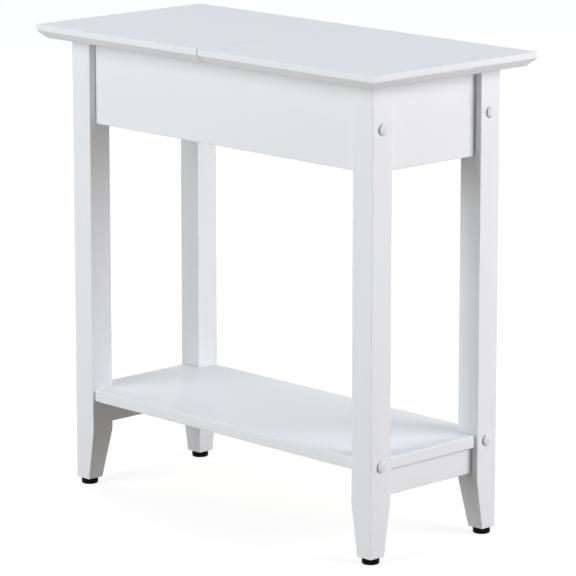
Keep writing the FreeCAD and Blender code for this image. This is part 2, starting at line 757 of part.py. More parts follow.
def make_top():
    half = body("top_half")
    bevel_height = "(Sizes.top_thickness - Sizes.top_band)"
    length = f"(Sizes.top_length / 2 - {SEAM_FACE})"
    depth = "Sizes.top_depth"
    under = rectangle(
        half,
        "bevel_foot",
        "XY_Plane",
        "Sizes.top_bevel",
        length,
        "Sizes.top_bevel",
        f"{depth} - Sizes.top_bevel",
    )
    rim = rectangle(half, "bevel_head", "XY_Plane", "0", length, "0", depth, bevel_height)
    bevel = half.newObject("PartDesign::AdditiveLoft", "bevel")
    bevel.Profile = under
    bevel.Sections = [rim]
    bevel.Ruled = True
    band = rectangle(half, "band_plan", "XY_Plane", "0", length, "0", depth, bevel_height)
    pad(half, band, "Sizes.top_band")
    doc.recompute()
    box = half.Shape.BoundBox
    near = 1e-6

    def on_top(p):
        return abs(p.z - box.ZMax) < near

    def at_seam(p):
        return on_top(p) and p.x > box.XMax - near

    shape = half.Tip.Shape
    seam = edges_where(shape, at_seam)
    rims = [name for name in edges_where(shape, on_top) if name not in seam]
    round_edges(half, "top_rim", "Sizes.top_arris", rims)
    place(half, "-Sizes.top_length / 2", "-Sizes.top_depth / 2", FRAME_TOP)

    hinge_holes = []
    for i, y in enumerate(HINGE_Y):
        across = "Sizes.barrel_diameter + Sizes.barrel_play"
        reach = f"{BARREL_END} - {SEAM_FACE}"
        hinge_holes.append(hinge_rod(f"barrel_hole_{i}", minus(SEAM_FACE), y, reach, across))
        hinge_holes.append(grub(f"grub_hole_{i}", y, "Sizes.screw_play"))
    bored = cut("top_half_bored", half, hinge_holes)
    pilots = []
    for i, x in enumerate(UPRIGHT_SCREW_X):
        pilots += front_and_back(f"top_pilot_{i}", upright_screw(f"top_pilot_{i}", x, PLAY))
    node(cut("top_fixed", bored, pilots), "top_fixed")
    node(mirror("top_lid", bored, ACROSS_LENGTH), "top_lid")


LINK_SPAN = "(Sizes.lid_travel + 2 * Sizes.link_engagement)"


def link_section(piece, name, play):
    """Section of the curved link or its slot, straight under the hinge axis."""
    return rectangle(
        piece,
        name,
        "YZ_Plane",
        f"-(Sizes.link_width / 2 + {play})",
        f"Sizes.link_width / 2 + {play}",
        f"-(Sizes.link_radius + Sizes.link_thickness / 2 + {play})",
        f"-(Sizes.link_radius - Sizes.link_thickness / 2 - {play})",
    )


def make_hinges():
    barrel = body("hinge_barrel")
    round_bar = disc(
        barrel,
        "barrel_round",
        "YZ_Plane",
        "0",
        "-Sizes.top_thickness / 2",
        "Sizes.barrel_diameter",
        minus(BARREL_FACE),
    )
    pad(barrel, round_bar, "Sizes.barrel_length", backwards=True)
    doc.recompute()
    before = barrel.Shape.Volume
    slot = link_section(barrel, "link_slot", "Sizes.link_play")
    turn(barrel, "Groove", slot, "H_Axis", f"{LINK_SPAN} + 2 * Sizes.slot_end_play")
    doc.recompute()
    if barrel.Shape.Volume >= before:
        raise RuntimeError("the hinge slot cuts nothing")
    place(barrel, "0", minus(HINGE), "Sizes.overall_height")
    seat = grub("barrel_grub_seat", minus(HINGE))
    front = cut("barrel_front", barrel, [seat])
    pair = front_and_back("barrel_front", front)
    fixed = node(group("hinge_barrels_fixed", pair), "hinge_barrels_fixed")
    node(mirror("hinge_barrels_lid", fixed, ACROSS_LENGTH), "hinge_barrels_lid")

    link = body("hinge_link")
    turn(link, "Revolution", link_section(link, "link_profile", "0"), "H_Axis", LINK_SPAN)
    place(link, "0", minus(HINGE), "Sizes.overall_height")
    node(group("hinge_links", front_and_back("hinge_link", link)), "hinge_links")

    screws = group("hinge_screws_fixed", [grub(f"grub_{i}", y) for i, y in enumerate(HINGE_Y)])
    node(screws, "hinge_screws_fixed")
    node(mirror("hinge_screws_lid", screws, ACROSS_LENGTH), "hinge_screws_lid")


# ---- Lower end rails and the shelf ----


def shelf_screw(name, y, play="0"):
    start = f"{RAIL_LOW} + Sizes.shelf_screw_well_depth"
    length = "Sizes.rail_height - Sizes.shelf_screw_well_depth + Sizes.screw_bite"
    return screw(name, "+Z", minus(RAIL_MID_X), y, start, length, play)


SHELF_SCREW = f"({LEG_IN_Y} - Sizes.shelf_screw_margin)"
SHELF_SCREW_Y = (minus(SHELF_SCREW), SHELF_SCREW)


def make_rails():
    rail = face_board(
        "rail_board",
        "Y",
        f"2 * {LEG_IN_Y}",
        "Sizes.rail_thickness",
        "Sizes.rail_height",
        "Sizes.rail_arris",
    )
    place(rail, minus(RAIL_FACE_X), minus(LEG_IN_Y), RAIL_LOW)
    tools = sum((front_and_back(h.Name + "_rail", h) for h in rail_dowel_holes), [])
    for i, y in enumerate(SHELF_SCREW_Y):
        tools.append(shelf_screw(f"rail_screw_hole_{i}", y, PLAY))
        well_depth = "Sizes.shelf_screw_well_depth"
        well = "Sizes.shelf_screw_well"
        tools.append(
            rod(f"rail_screw_well_{i}", "+Z", minus(RAIL_MID_X), y, RAIL_LOW, well_depth, well)
        )
    left = node(cut("rail_left", rail, tools), "rail_left")
    node(mirror("rail_right", left, ACROSS_LENGTH), "rail_right")


def make_shelf():
    """A board notched round the legs, with rounded edges between them."""
    out_x = f"({LEG_OUT_X} - Sizes.shelf_inset)"
    out_y = f"({LEG_OUT_Y} - Sizes.shelf_inset)"
    in_y = f"({LEG_IN_Y} - Sizes.shelf_clearance)"
    board = body("shelf_board")
    plan = outline(board, "shelf_plan", "XY_Plane", notched_plan(out_x, out_y, LEG_IN_X, in_y))
    pad(board, plan, "Sizes.shelf_thickness")
    doc.recompute()
    box = board.Shape.BoundBox
    near = 1e-6

    def at_level(z):
        def test(p):
            outer = abs(abs(p.x) - box.XMax) < near or abs(abs(p.y) - box.YMax) < near
            return outer and abs(p.z - z) < near

        return test

    soften(board, "shelf_upper_edges", "Sizes.shelf_arris", at_level(box.ZMax))
    soften(board, "shelf_lower_edges", "Sizes.shelf_under_arris", at_level(box.ZMin))
    place(board, "0", "0", SHELF_LOW)

    nut_hole = rod(
        "shelf_nut_hole",
        "+Z",
        f"-({LEG_IN_X} - Sizes.nut_setback)",
        minus(APRON_MID_Y),
        SHELF_LOW,
        "Sizes.shelf_thickness / 2 + Sizes.nut_length / 2",
        "Sizes.nut_diameter + Sizes.nut_play",
    )
    corner = fuse("shelf_corner_holes", [lower_bore, nut_hole])
    tools = four_corners("shelf_corner_holes", corner)
    for i, y in enumerate(SHELF_SCREW_Y):
        hole = shelf_screw(f"shelf_pilot_{i}", y, PLAY)
        tools += both_ends(f"shelf_pilot_{i}", hole)
    node(cut("shelf", board, tools), "shelf")
    screws = [shelf_screw(f"shelf_screw_{i}", y) for i, y in enumerate(SHELF_SCREW_Y)]
    solids = sum((both_ends(s.Name, s) for s in screws), [])
    node(group("shelf_screws", solids), "shelf_screws")


# ---- Bolts, nuts, caps and dowels ----


def make_bolt(name, z):
    """A bolt whose head lies at the bottom of the counterbore, with its shank towards the nut."""
    seat_x = f"-({LEG_OUT_X} - Sizes.counterbore_depth)"
    reach = "Sizes.leg_side - Sizes.counterbore_depth + Sizes.nut_setback + Sizes.bolt_tip"
    shank = rod(name + "_shank", "+X", seat_x, minus(APRON_MID_Y), z, reach, "Sizes.bolt_diameter")
    head_x = f"-({LEG_OUT_X} - Sizes.counterbore_depth + Sizes.bolt_head_height)"
    head = rod(
        name + "_head",
        "+X",
        head_x,
        minus(APRON_MID_Y),
        z,
        "Sizes.bolt_head_height",
        "Sizes.bolt_head",
    )
    return fuse(name, [shank, head])


def make_nut(name, way, y, z):
    """A cross dowel nut, bored for the bolt. It starts at the point given and runs one way."""
    x = f"-({LEG_IN_X} - Sizes.nut_setback)"
    slug = rod(name + "_slug", way, x, y, z, "Sizes.nut_length", "Sizes.nut_diameter")
    thread = rod(
        name + "_thread",
        "+X",
        f"-({LEG_IN_X} - Sizes.nut_setback + Sizes.nut_diameter)",
        minus(APRON_MID_Y),
        APRON_MID_Z if way == "-Y" else SHELF_MID_Z,
        "2 * Sizes.nut_diameter",
        "Sizes.bolt_diameter + Sizes.nut_thread_play",
    )
    return cut(name, slug, [thread])


def make_cap(name, z):
    """A domed cap with a stem that plugs the counterbore."""
    stem = rod(
        name + "_stem",
        "+X",
        minus(LEG_OUT_X),
        minus(APRON_MID_Y),
        z,
        "Sizes.cap_stem",
        "Sizes.counterbore - Sizes.cap_play",
    )
    dome = doc.addObject("Part::Ellipsoid", name + "_dome")
    dome.Placement = FreeCAD.Placement(Vector(), TURNS["-X"])
    bind(dome, Radius1="Sizes.cap_dome", Radius2="Sizes.cap_diameter / 2")
    bind(dome, Radius3="Sizes.cap_diameter / 2")
    dome.Angle1 = 0
    place(dome, minus(LEG_OUT_X), minus(APRON_MID_Y), z)
    return fuse(name, [stem, dome])


def make_fasteners():
    bolts = four_corners("upper_bolt", make_bolt("upper_bolt", APRON_MID_Z))
    bolts += four_corners("lower_bolt", make_bolt("lower_bolt", SHELF_MID_Z))
    node(group("leg_bolts", bolts), "leg_bolts")

    nut_y = f"-({APRON_MID_Y} - Sizes.nut_length / 2)"
    nuts = four_corners("apron_nut", make_nut("apron_nut", "-Y", nut_y, APRON_MID_Z))
    nut_z = f"{SHELF_MID_Z} - Sizes.nut_length / 2"
    nuts += four_corners("shelf_nut", make_nut("shelf_nut", "+Z", minus(APRON_MID_Y), nut_z))
    node(group("cross_dowel_nuts", nuts), "cross_dowel_nuts")

    caps = four_corners("upper_cap", make_cap("upper_cap", APRON_MID_Z))
    caps += four_corners("lower_cap", make_cap("lower_cap", SHELF_MID_Z))
    node(group("bolt_caps", caps), "bolt_caps")

    dowels = []
    for i, z in enumerate(APRON_DOWELS):
        dowels += four_corners(f"apron_dowel_{i}", lengthways_dowel(f"apron_dowel_{i}", z))
    node(group("apron_dowels", dowels), "apron_dowels")

    ends = []
    for i, z in enumerate(END_DOWELS):
        pin = crossways_dowel(f"end_dowel_{i}", APRON_MID_X, z)
        ends += four_corners(f"end_dowel_{i}", pin)
    for i, z in enumerate(RAIL_DOWELS):
        pin = crossways_dowel(f"rail_dowel_{i}", RAIL_MID_X, z)
        ends += four_corners(f"rail_dowel_{i}", pin)
    node(group("side_frame_dowels", ends), "side_frame_dowels")

    cross = []
    for i, x in enumerate(CROSS_DOWEL_X):
        cross += front_and_back(f"cross_dowel_{i}", cross_dowel(f"cross_dowel_{i}", x))
    node(group("seam_rail_dowels", cross), "seam_rail_dowels")

    pads = [pad_disc(f"end_pad_{i}", APRON_MID_X, y) for i, y in enumerate(END_PAD_Y)]
    pads += [
        pad_disc(f"rail_pad_{i}", "Sizes.rail_pad_setback", y) for i, y in enumerate(RAIL_PAD_Y)
    ]
    node(group("lid_pads", pads), "lid_pads")


# ---- Floor glides ----


def make_glides():
    glide = body("glide_disc")
    rim = "Sizes.glide_diameter / 2"
    neck = "Sizes.glide_neck / 2"
    flank = "Sizes.glide_height - Sizes.glide_shoulder"
    profile = [
        ("0", "0"),
        (f"{rim} - Sizes.glide_round", "0"),
        (rim, "Sizes.glide_round"),
        (rim, f"{flank} - Sizes.glide_round / 2"),
        (f"{rim} - Sizes.glide_round / 2", flank),
        (neck, flank),
        (neck, "Sizes.glide_height"),
        ("0", "Sizes.glide_height"),
    ]
    turned = glide.newObject("PartDesign::Revolution", "glide_turned")
    turned.Profile = outline(glide, "glide_profile", "XZ_Plane", profile)
    turned.ReferenceAxis = (turned.Profile[0], ["V_Axis"])
    turned.Angle = 360
    place(glide, minus(GLIDE_X), minus(GLIDE_Y), "0")
    nail = rod(
        "glide_nail",
        "+Z",
        minus(GLIDE_X),
        minus(GLIDE_Y),
        "Sizes.nail_start",
        "Sizes.nail_length",
        "Sizes.nail_diameter",
    )
    front_left = node(cut("glide_front_left", glide, [nail]), "glide_front_left")
    front_right = node(mirror("glide_front_right", front_left, ACROSS_LENGTH), "glide_front_right")
    node(mirror("glide_rear_left", front_left, ACROSS_DEPTH), "glide_rear_left")
    node(mirror("glide_rear_right", front_right, ACROSS_DEPTH), "glide_rear_right")
    node(group("glide_nails", four_corners("glide_nail", nail)), "glide_nails")


# ---- Build, check and write ----


make_legs()
make_aprons()
make_storage_bottom()
make_cross_rail()
make_cleats()
make_top()
make_hinges()
make_rails()
make_shelf()
make_fasteners()
make_glides()
doc.recompute()

for item in doc.Objects:
    if {"Invalid", "Error"} & set(item.State):
        raise RuntimeError(f"{item.Label} failed: {item.State}")

os.makedirs("parts", exist_ok=True)
for item in nodes:
    shape = item.Shape
    if shape.isNull() or not shape.isValid() or not shape.Solids:
        raise RuntimeError(f"{item.Label} has no valid solid")
    shape.exportStep(f"parts/{item.Label}.step")
    print(item.Label, len(shape.Solids), "solids", round(shape.Volume), "mm3")
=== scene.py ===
"""Lift top end table: the finished look of each piece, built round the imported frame."""

import math

import bmesh
import bpy
from mathutils import Matrix, Vector


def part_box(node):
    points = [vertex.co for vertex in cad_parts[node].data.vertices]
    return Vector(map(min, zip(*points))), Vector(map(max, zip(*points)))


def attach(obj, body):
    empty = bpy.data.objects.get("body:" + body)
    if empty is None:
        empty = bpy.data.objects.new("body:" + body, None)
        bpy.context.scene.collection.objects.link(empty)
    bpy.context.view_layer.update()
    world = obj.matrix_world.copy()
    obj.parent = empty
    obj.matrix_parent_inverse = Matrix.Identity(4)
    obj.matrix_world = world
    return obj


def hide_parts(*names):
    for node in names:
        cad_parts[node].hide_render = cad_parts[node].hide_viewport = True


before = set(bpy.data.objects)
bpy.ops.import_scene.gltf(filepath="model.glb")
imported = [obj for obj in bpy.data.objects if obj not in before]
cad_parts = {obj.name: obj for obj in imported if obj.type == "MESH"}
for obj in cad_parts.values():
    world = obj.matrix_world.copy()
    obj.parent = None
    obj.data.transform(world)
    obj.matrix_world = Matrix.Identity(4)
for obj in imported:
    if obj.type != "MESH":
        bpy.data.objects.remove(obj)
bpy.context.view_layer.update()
MM = 0.001


# ---- Legs ----
# Four square wooden posts, tapered at the foot on the two faces that look inwards. Their edges are
# eased and they are sprayed with satin white lacquer before assembly. Two bolts through each post
# pull the storage box and the shelf up against it.

TAPER_HEIGHT = 66 * MM
FOOT_WIDTH = 24 * MM
LEG_EASE = 1.2 * MM
TOUCHING = 1e-7
SHARP_EDGE = math.radians(20)
CREASE = math.radians(34)

WHITE_PAINT = (0.800, 0.822, 0.840)
SATIN = 0.42
GLOSS_DRIFT = 0.16
SAG_HEIGHT = 1.6
GRIT_REACH = 0.09
GRIT_HEIGHT = 0.5
GRIT_CUT = 0.86


def connect(tree, source, target):
    """Links two sockets, each given as a node and the name or number of its socket."""
    tree.links.new(source[0].outputs[source[1]], target[0].inputs[target[1]])


def add_node(tree, kind, label, **settings):
    """A shader node with its settings. A setting with a capital fills the input of that name."""
    item = tree.nodes.new("ShaderNode" + kind)
    item.label = label
    for name, value in settings.items():
        if name[0].isupper():
            item.inputs[name.replace("_", " ")].default_value = value
        else:
            setattr(item, name, value)
    return item


def maths(tree, label, operation, *inputs):
    """A Math node. Each input is a number, or a node with the name or number of its socket."""
    item = add_node(tree, "Math", label, operation=operation)
    for number, value in enumerate(inputs):
        if isinstance(value, tuple):
            connect(tree, value, (item, number))
        else:
            item.inputs[number].default_value = value
    return item


def new_group(name, inputs):
    """A shader node group with named inputs, which puts out a colour, a roughness and a height."""
    group = bpy.data.node_groups.new(name, "ShaderNodeTree")
    for label, kind, value in inputs:
        socket = group.interface.new_socket(label, in_out="INPUT", socket_type="NodeSocket" + kind)
        socket.default_value = value
    for label, kind in (("Colour", "Color"), ("Roughness", "Float"), ("Height", "Float")):
        group.interface.new_socket(label, in_out="OUTPUT", socket_type="NodeSocket" + kind)
    return group, group.nodes.new("NodeGroupInput"), group.nodes.new("NodeGroupOutput")


def build_lacquer_group():
    """Sprayed lacquer: orange peel, a slow drift of shade and gloss, and a few specks of grit."""
    group, given, result = new_group(
        "sprayed_lacquer",
        [
            ("Colour", "Color", (0.8, 0.8, 0.8, 1)),
            ("Drift", "Float", 0.02),
            ("Roughness", "Float", 0.4),
            ("Peel size", "Float", 420),
        ],
    )
    place = add_node(group, "TexCoord", "place on the piece")
    slow = add_node(group, "TexNoise", "slow drift", Scale=5.5, Detail=3.0, Roughness=0.55)
    peel = add_node(group, "TexNoise", "orange peel", Detail=2.0, Roughness=0.45)
    sag = add_node(group, "TexNoise", "soft sags", Scale=48.0, Detail=1.0)
    grit = add_node(group, "TexVoronoi", "specks of grit", Scale=170.0)
    for noise in (slow, peel, sag, grit):
        connect(group, (place, "Object"), (noise, "Vector"))
    connect(group, (given, "Peel size"), (peel, "Scale"))

    centred = maths(group, "drift about nought", "SUBTRACT", (slow, "Fac"), 0.5)
    shade = maths(group, "shade", "MULTIPLY_ADD", (centred, 0), (given, "Drift"), 1.0)
    tint = add_node(group, "VectorMath", "drifted colour", operation="SCALE")
    connect(group, (given, "Colour"), (tint, 0))
    connect(group, (shade, 0), (tint, "Scale"))
    connect(group, (tint, 0), (result, "Colour"))
    gloss = maths(
        group,
        "drifted gloss",
        "MULTIPLY_ADD",
        (centred, 0),
        GLOSS_DRIFT,
        (given, "Roughness"),
    )
    connect(group, (gloss, 0), (result, "Roughness"))

    speck = add_node(
        group,
        "MapRange",
        "a speck in each cell",
        From_Min=0.0,
        From_Max=GRIT_REACH,
        To_Min=GRIT_HEIGHT,
        To_Max=0.0,
    )
    connect(group, (grit, "Distance"), (speck, "Value"))
    rare = maths(group, "one cell here and there", "GREATER_THAN", (grit, "Color"), GRIT_CUT)
    few = maths(group, "kept specks", "MULTIPLY", (speck, 0), (rare, 0))
    skin = maths(group, "peel with sags", "MULTIPLY_ADD", (sag, "Fac"), SAG_HEIGHT, (peel, "Fac"))
    height = maths(group, "with specks", "ADD", (skin, 0), (few, 0))
    connect(group, (height, 0), (result, "Height"))
    return group


def new_material(name):
    """An empty node material and its shader."""
    material = bpy.data.materials.new(name)
    material.use_nodes = True
    tree = material.node_tree
    return material, tree, tree.nodes["Principled BSDF"]


def finish_from(group, name, inputs, relief, strength, depth):
    """A material whose colour, roughness and relief come from a node group."""
    material, tree, shader = new_material(name)
    effect = tree.nodes.new("ShaderNodeGroup")
    effect.node_tree = group
    for label, value in inputs.items():
        effect.inputs[label].default_value = value
    bump = add_node(tree, "Bump", relief, Strength=strength, Distance=depth)
    connect(tree, (effect, "Colour"), (shader, "Base Color"))
    connect(tree, (effect, "Roughness"), (shader, "Roughness"))
    connect(tree, (effect, "Height"), (bump, "Height"))
    connect(tree, (bump, "Normal"), (shader, "Normal"))
    return material


lacquer_group = build_lacquer_group()


def lacquer(name, colour, roughness, drift=0.02, peel=420, depth=0.03 * MM):
    """A smooth sprayed or moulded finish. Depth is the height of its orange peel."""
    inputs = {"Colour": (*colour, 1), "Roughness": roughness, "Drift": drift, "Peel size": peel}
    return finish_from(lacquer_group, name, inputs, "orange peel", strength=0.6, depth=depth)


white_lacquer = lacquer("white_satin_lacquer", WHITE_PAINT, SATIN)


def block(low, high):
    """A box between two corners."""
    bm = bmesh.new()
    bmesh.ops.create_cube(bm, size=1)
    bmesh.ops.scale(bm, vec=[b - a for a, b in zip(low, high)], verts=bm.verts)
    bmesh.ops.translate(bm, vec=[(a + b) / 2 for a, b in zip(low, high)], verts=bm.verts)
    return bm


def split(bm, point, normal):
    """Adds a line of edges where a plane crosses the piece."""
    everything = [*bm.verts, *bm.edges, *bm.faces]
    bmesh.ops.bisect_plane(bm, geom=everything, plane_co=point, plane_no=normal, dist=TOUCHING)


def ease(bm, radius, test, segments=4):
    """Rounds the sharp edges that pass the test, which is given an edge's middle and the edge."""
    edges = [
        edge
        for edge in bm.edges
        if edge.is_manifold
        and edge.calc_face_angle() > SHARP_EDGE
        and test((edge.verts[0].co + edge.verts[1].co) / 2, edge)
    ]
    bmesh.ops.bevel(
        bm,
        geom=edges,
        offset=radius,
        offset_type="OFFSET",
        affect="EDGES",
        segments=segments,
        profile=0.5,
        material=-1,
        clamp_overlap=True,
    )


def every_edge(at, edge):
    """The test that lets all edges through."""
    return True


def make_piece(bm, name, material, body, slot, *nodes):
    """Turns a bmesh into a finished piece that rides on a body and stands for its CAD nodes."""
    bmesh.ops.remove_doubles(bm, verts=bm.verts, dist=TOUCHING)
    bmesh.ops.recalc_face_normals(bm, faces=bm.faces)
    for face in bm.faces:
        face.smooth = True
    for edge in bm.edges:
        edge.smooth = edge.is_manifold and edge.calc_face_angle() < CREASE
    mesh = bpy.data.meshes.new(name)
    bm.to_mesh(mesh)
    bm.free()
    mesh.materials.append(material)
    piece = bpy.data.objects.new(name, mesh)
    bpy.context.scene.collection.objects.link(piece)
    shading = piece.modifiers.new("even_shading", "WEIGHTED_NORMAL")
    shading.keep_sharp = True
    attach(piece, body)
    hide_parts(*nodes)
    return piece


for node in ("leg_front_left", "leg_front_right", "leg_rear_left", "leg_rear_right"):
    low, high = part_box(node)
    middle = (low + high) / 2
    inwards = (-math.copysign(1, low.x), -math.copysign(1, low.y))
    post = block(low, high)
    split(post, (0, 0, low.z + TAPER_HEIGHT), (0, 0, 1))
    narrowing = high.x - low.x - FOOT_WIDTH
    for axis in (0, 1):
        inner = [
            v
            for v in post.verts
            if v.co.z < low.z + MM and (v.co[axis] - middle[axis]) * inwards[axis] > 0
        ]
        step = Vector((0, 0, 0))
        step[axis] = -inwards[axis] * narrowing
        bmesh.ops.translate(post, vec=step, verts=inner)
    ease(post, LEG_EASE, every_edge)
    make_piece(post, node + "_post", white_lacquer, "frame", "white_paint", node)


# ---- Storage box ----
# Two long and two end boards of painted fibreboard, dowelled and bolted between the legs. The lower
# and side edges of each outer face are rounded, a hairline is left at each joint, and a groove
# holds the bottom panel. Cross dowel nuts are let into the long boards from inside.

BOARD_EASE = 1.5 * MM
INNER_EASE = 0.5 * MM
HAIRLINE = 0.4 * MM
CLOSE = 0.1 * MM
PANEL_PLAY = 0.3 * MM
NUT_RADIUS = 5 * MM
NUT_LENGTH = 12 * MM
NUT_PLAY = 0.1 * MM
NUT_SETBACK = 1.5 * MM
PAD_RADIUS = 4 * MM
PAD_DEPTH = 1.5 * MM
PAD_PLAY = 0.1 * MM

panel_low, panel_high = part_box("storage_bottom")
apron_low, apron_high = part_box("apron_rear")
APRON_MID = (apron_low.z + apron_high.z) / 2
BOLT_Y = (apron_low.y + apron_high.y) / 2
NUT_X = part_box("cross_dowel_nuts")[1].x - NUT_RADIUS

pads_low, pads_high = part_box("lid_pads")
END_PAD_X = pads_high.x - PAD_RADIUS
END_PAD_Y = 50 * MM
RAIL_PAD_X = pads_low.x + PAD_RADIUS
RAIL_PAD_Y = pads_high.y - PAD_RADIUS
PAD_PLACES = [(END_PAD_X, END_PAD_Y), (END_PAD_X, -END_PAD_Y)]
PAD_PLACES += [(RAIL_PAD_X, RAIL_PAD_Y), (RAIL_PAD_X, -RAIL_PAD_Y)]


def facing(way):
    """The turn that takes Z to a direction."""
    return Vector(way).to_track_quat("Z", "Y").to_matrix().to_4x4()


def aim(bm, way, place):
    """Turns a shape that stands on Z so that it runs one way from a place."""
    bmesh.ops.transform(bm, matrix=Matrix.Translation(place) @ facing(way), verts=bm.verts)
    return bm


def cone(start, end, first_radius, last_radius, segments=48):
    """A round bar between two points, with a radius at each."""
    start, end = Vector(start), Vector(end)
    bm = bmesh.new()
    bmesh.ops.create_cone(
        bm,
        cap_ends=True,
        segments=segments,
        radius1=first_radius,
        radius2=last_radius,
        depth=(end - start).length,
    )
    return aim(bm, end - start, (start + end) / 2)


def rod(start, end, radius, segments=48):
    """A round bar between two points."""
    return cone(start, end, radius, radius, segments)


def merge(parts):
    """One bmesh of several. The parts are used up."""
    whole = bmesh.new()
    for part in parts:
        mesh = bpy.data.meshes.new("part")
        part.to_mesh(mesh)
        part.free()
        whole.from_mesh(mesh)
        bpy.data.meshes.remove(mesh)
    return whole


def carve(bm, cutters):
    """Takes the cutters out of the piece. Both are used up, and the remainder is returned."""
    objects = []
    for name, source in (("base", bm), ("cutter", merge(cutters))):
        mesh = bpy.data.meshes.new(name)
        source.to_mesh(mesh)
        source.free()
        item = bpy.data.objects.new(name, mesh)
        bpy.context.scene.collection.objects.link(item)
        objects.append(item)
    base, cutter = objects
    boolean = base.modifiers.new("carve", "BOOLEAN")
    boolean.operation = "DIFFERENCE"
    boolean.solver = "EXACT"
    boolean.use_self = True
    boolean.object = cutter
    graph = bpy.context.evaluated_depsgraph_get()
    carved = bpy.data.meshes.new_from_object(base.evaluated_get(graph))
    remainder = bmesh.new()
    remainder.from_mesh(carved)
    bpy.data.meshes.remove(carved)
    for item in objects:
        mesh = item.data
        bpy.data.objects.remove(item)
        bpy.data.meshes.remove(mesh)
    return remainder


def box_board(node, axis, outward, cutters):
    """A board of the box. Axis and outward say which way its outer face looks."""
    low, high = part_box(node)
    face, back = (low, high) if outward < 0 else (high, low)
    joint = Vector((0, 0, 0))
    joint[1 - axis] = HAIRLINE
    board = block(low + joint, high - joint)

    def on_face(at, edge):
        return abs(at[axis] - face[axis]) < MM and at.z < high.z - MM

    ease(board, BOARD_EASE, on_face)
    ease(board, INNER_EASE, lambda at, edge: abs(at[axis] - back[axis]) < CLOSE, segments=3)
    side_play = Vector((PANEL_PLAY, PANEL_PLAY, 0))
    upper_play = Vector((0, 0, PANEL_PLAY))
    groove = block(panel_low - side_play, panel_high + side_play + upper_play)
    board = carve(board, [groove, *cutters])
    make_piece(board, node + "_board", white_lacquer, "frame", "white_paint", node)


for node, outward in (("apron_front", -1), ("apron_rear", 1)):
    nut_holes = []
    for x in (-NUT_X, NUT_X):
        mouth = (x, outward * (apron_low.y - MM), APRON_MID)
        end = (x, outward * (apron_low.y + NUT_SETBACK + NUT_LENGTH), APRON_MID)
        nut_holes.append(rod(mouth, end, NUT_RADIUS + NUT_PLAY))
    box_board(node, 1, outward, nut_holes)


def pad_recesses(low, high):
    """The shallow round recesses for the lid pads that lie on a piece."""
    recesses = []
    for x, y in PAD_PLACES:
        if low.x < x < high.x:
            foot, mouth = (x, y, high.z - PAD_DEPTH), (x, y, high.z + MM)
            recesses.append(rod(foot, mouth, PAD_RADIUS + PAD_PLAY))
    return recesses


for node, outward in (("apron_left", -1), ("apron_right", 1)):
    box_board(node, 0, outward, pad_recesses(*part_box(node)))


# ---- Bottom panel of the storage box ----
# A thin sheet of hardboard faced with white paper foil. It slides into the grooves of the four
# boards while the box is put together, and is notched round the legs.

FOIL_WHITE = (0.765, 0.775, 0.780)
PANEL_EASE = 0.3 * MM

leg_low, leg_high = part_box("leg_rear_right")
panel_foil = lacquer(
    "white_paper_foil", FOIL_WHITE, roughness=0.5, drift=0.03, peel=900, depth=0.02 * MM
)


def corner_notches(low, high, inner_x, inner_y):
    """Four blocks that notch a panel round the legs."""
    notches = []
    for x in (-1, 1):
        for y in (-1, 1):
            near = Vector((x * inner_x, y * inner_y, low.z - MM))
            far = Vector((x * (high.x + MM), y * (high.y + MM), high.z + MM))
            lower = [min(a, b) for a, b in zip(near, far)]
            upper = [max(a, b) for a, b in zip(near, far)]
            notches.append(block(lower, upper))
    return notches


panel = block(panel_low, panel_high)
ease(panel, PANEL_EASE, every_edge, segments=3)
notch_x, notch_y = leg_low.x - PANEL_PLAY, leg_low.y - PANEL_PLAY
panel = carve(panel, corner_notches(panel_low, panel_high, notch_x, notch_y))
make_piece(panel, "storage_bottom_panel", panel_foil, "frame", "white_panel", "storage_bottom")


# ---- Cross rail under the seam ----
# A flat painted rail dowelled between the long boards. The fixed half of the top lies on its left
# part, and the lid lands on the ledge at its right, on two soft pads let into the rail.

low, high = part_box("seam_rail")
seam_board = block(low, high)
ease(seam_board, BOARD_EASE, lambda at, edge: abs(at.y) < MM)
seam_board = carve(seam_board, pad_recesses(low, high))
make_piece(seam_board, "seam_rail_board", white_lacquer, "frame", "white_paint", "seam_rail")


# ---- Cleats ----
# Two square battens of planed pine, screwed along the long boards. Screws up through them hold the
# fixed half of the top down.

CLEAT_EASE = 0.6 * MM
SCREW_RADIUS = 1.75 * MM
SCREW_HEAD_RADIUS = 3.5 * MM
SCREW_HEAD_HEIGHT = 2.6 * MM
SCREW_PLAY = 0.05 * MM
SCREW_MARGIN = 28 * MM
SCREW_STEP = 24 * MM
HOLE_REACH = 30 * MM
FIBRE_ROUGHNESS = 0.18


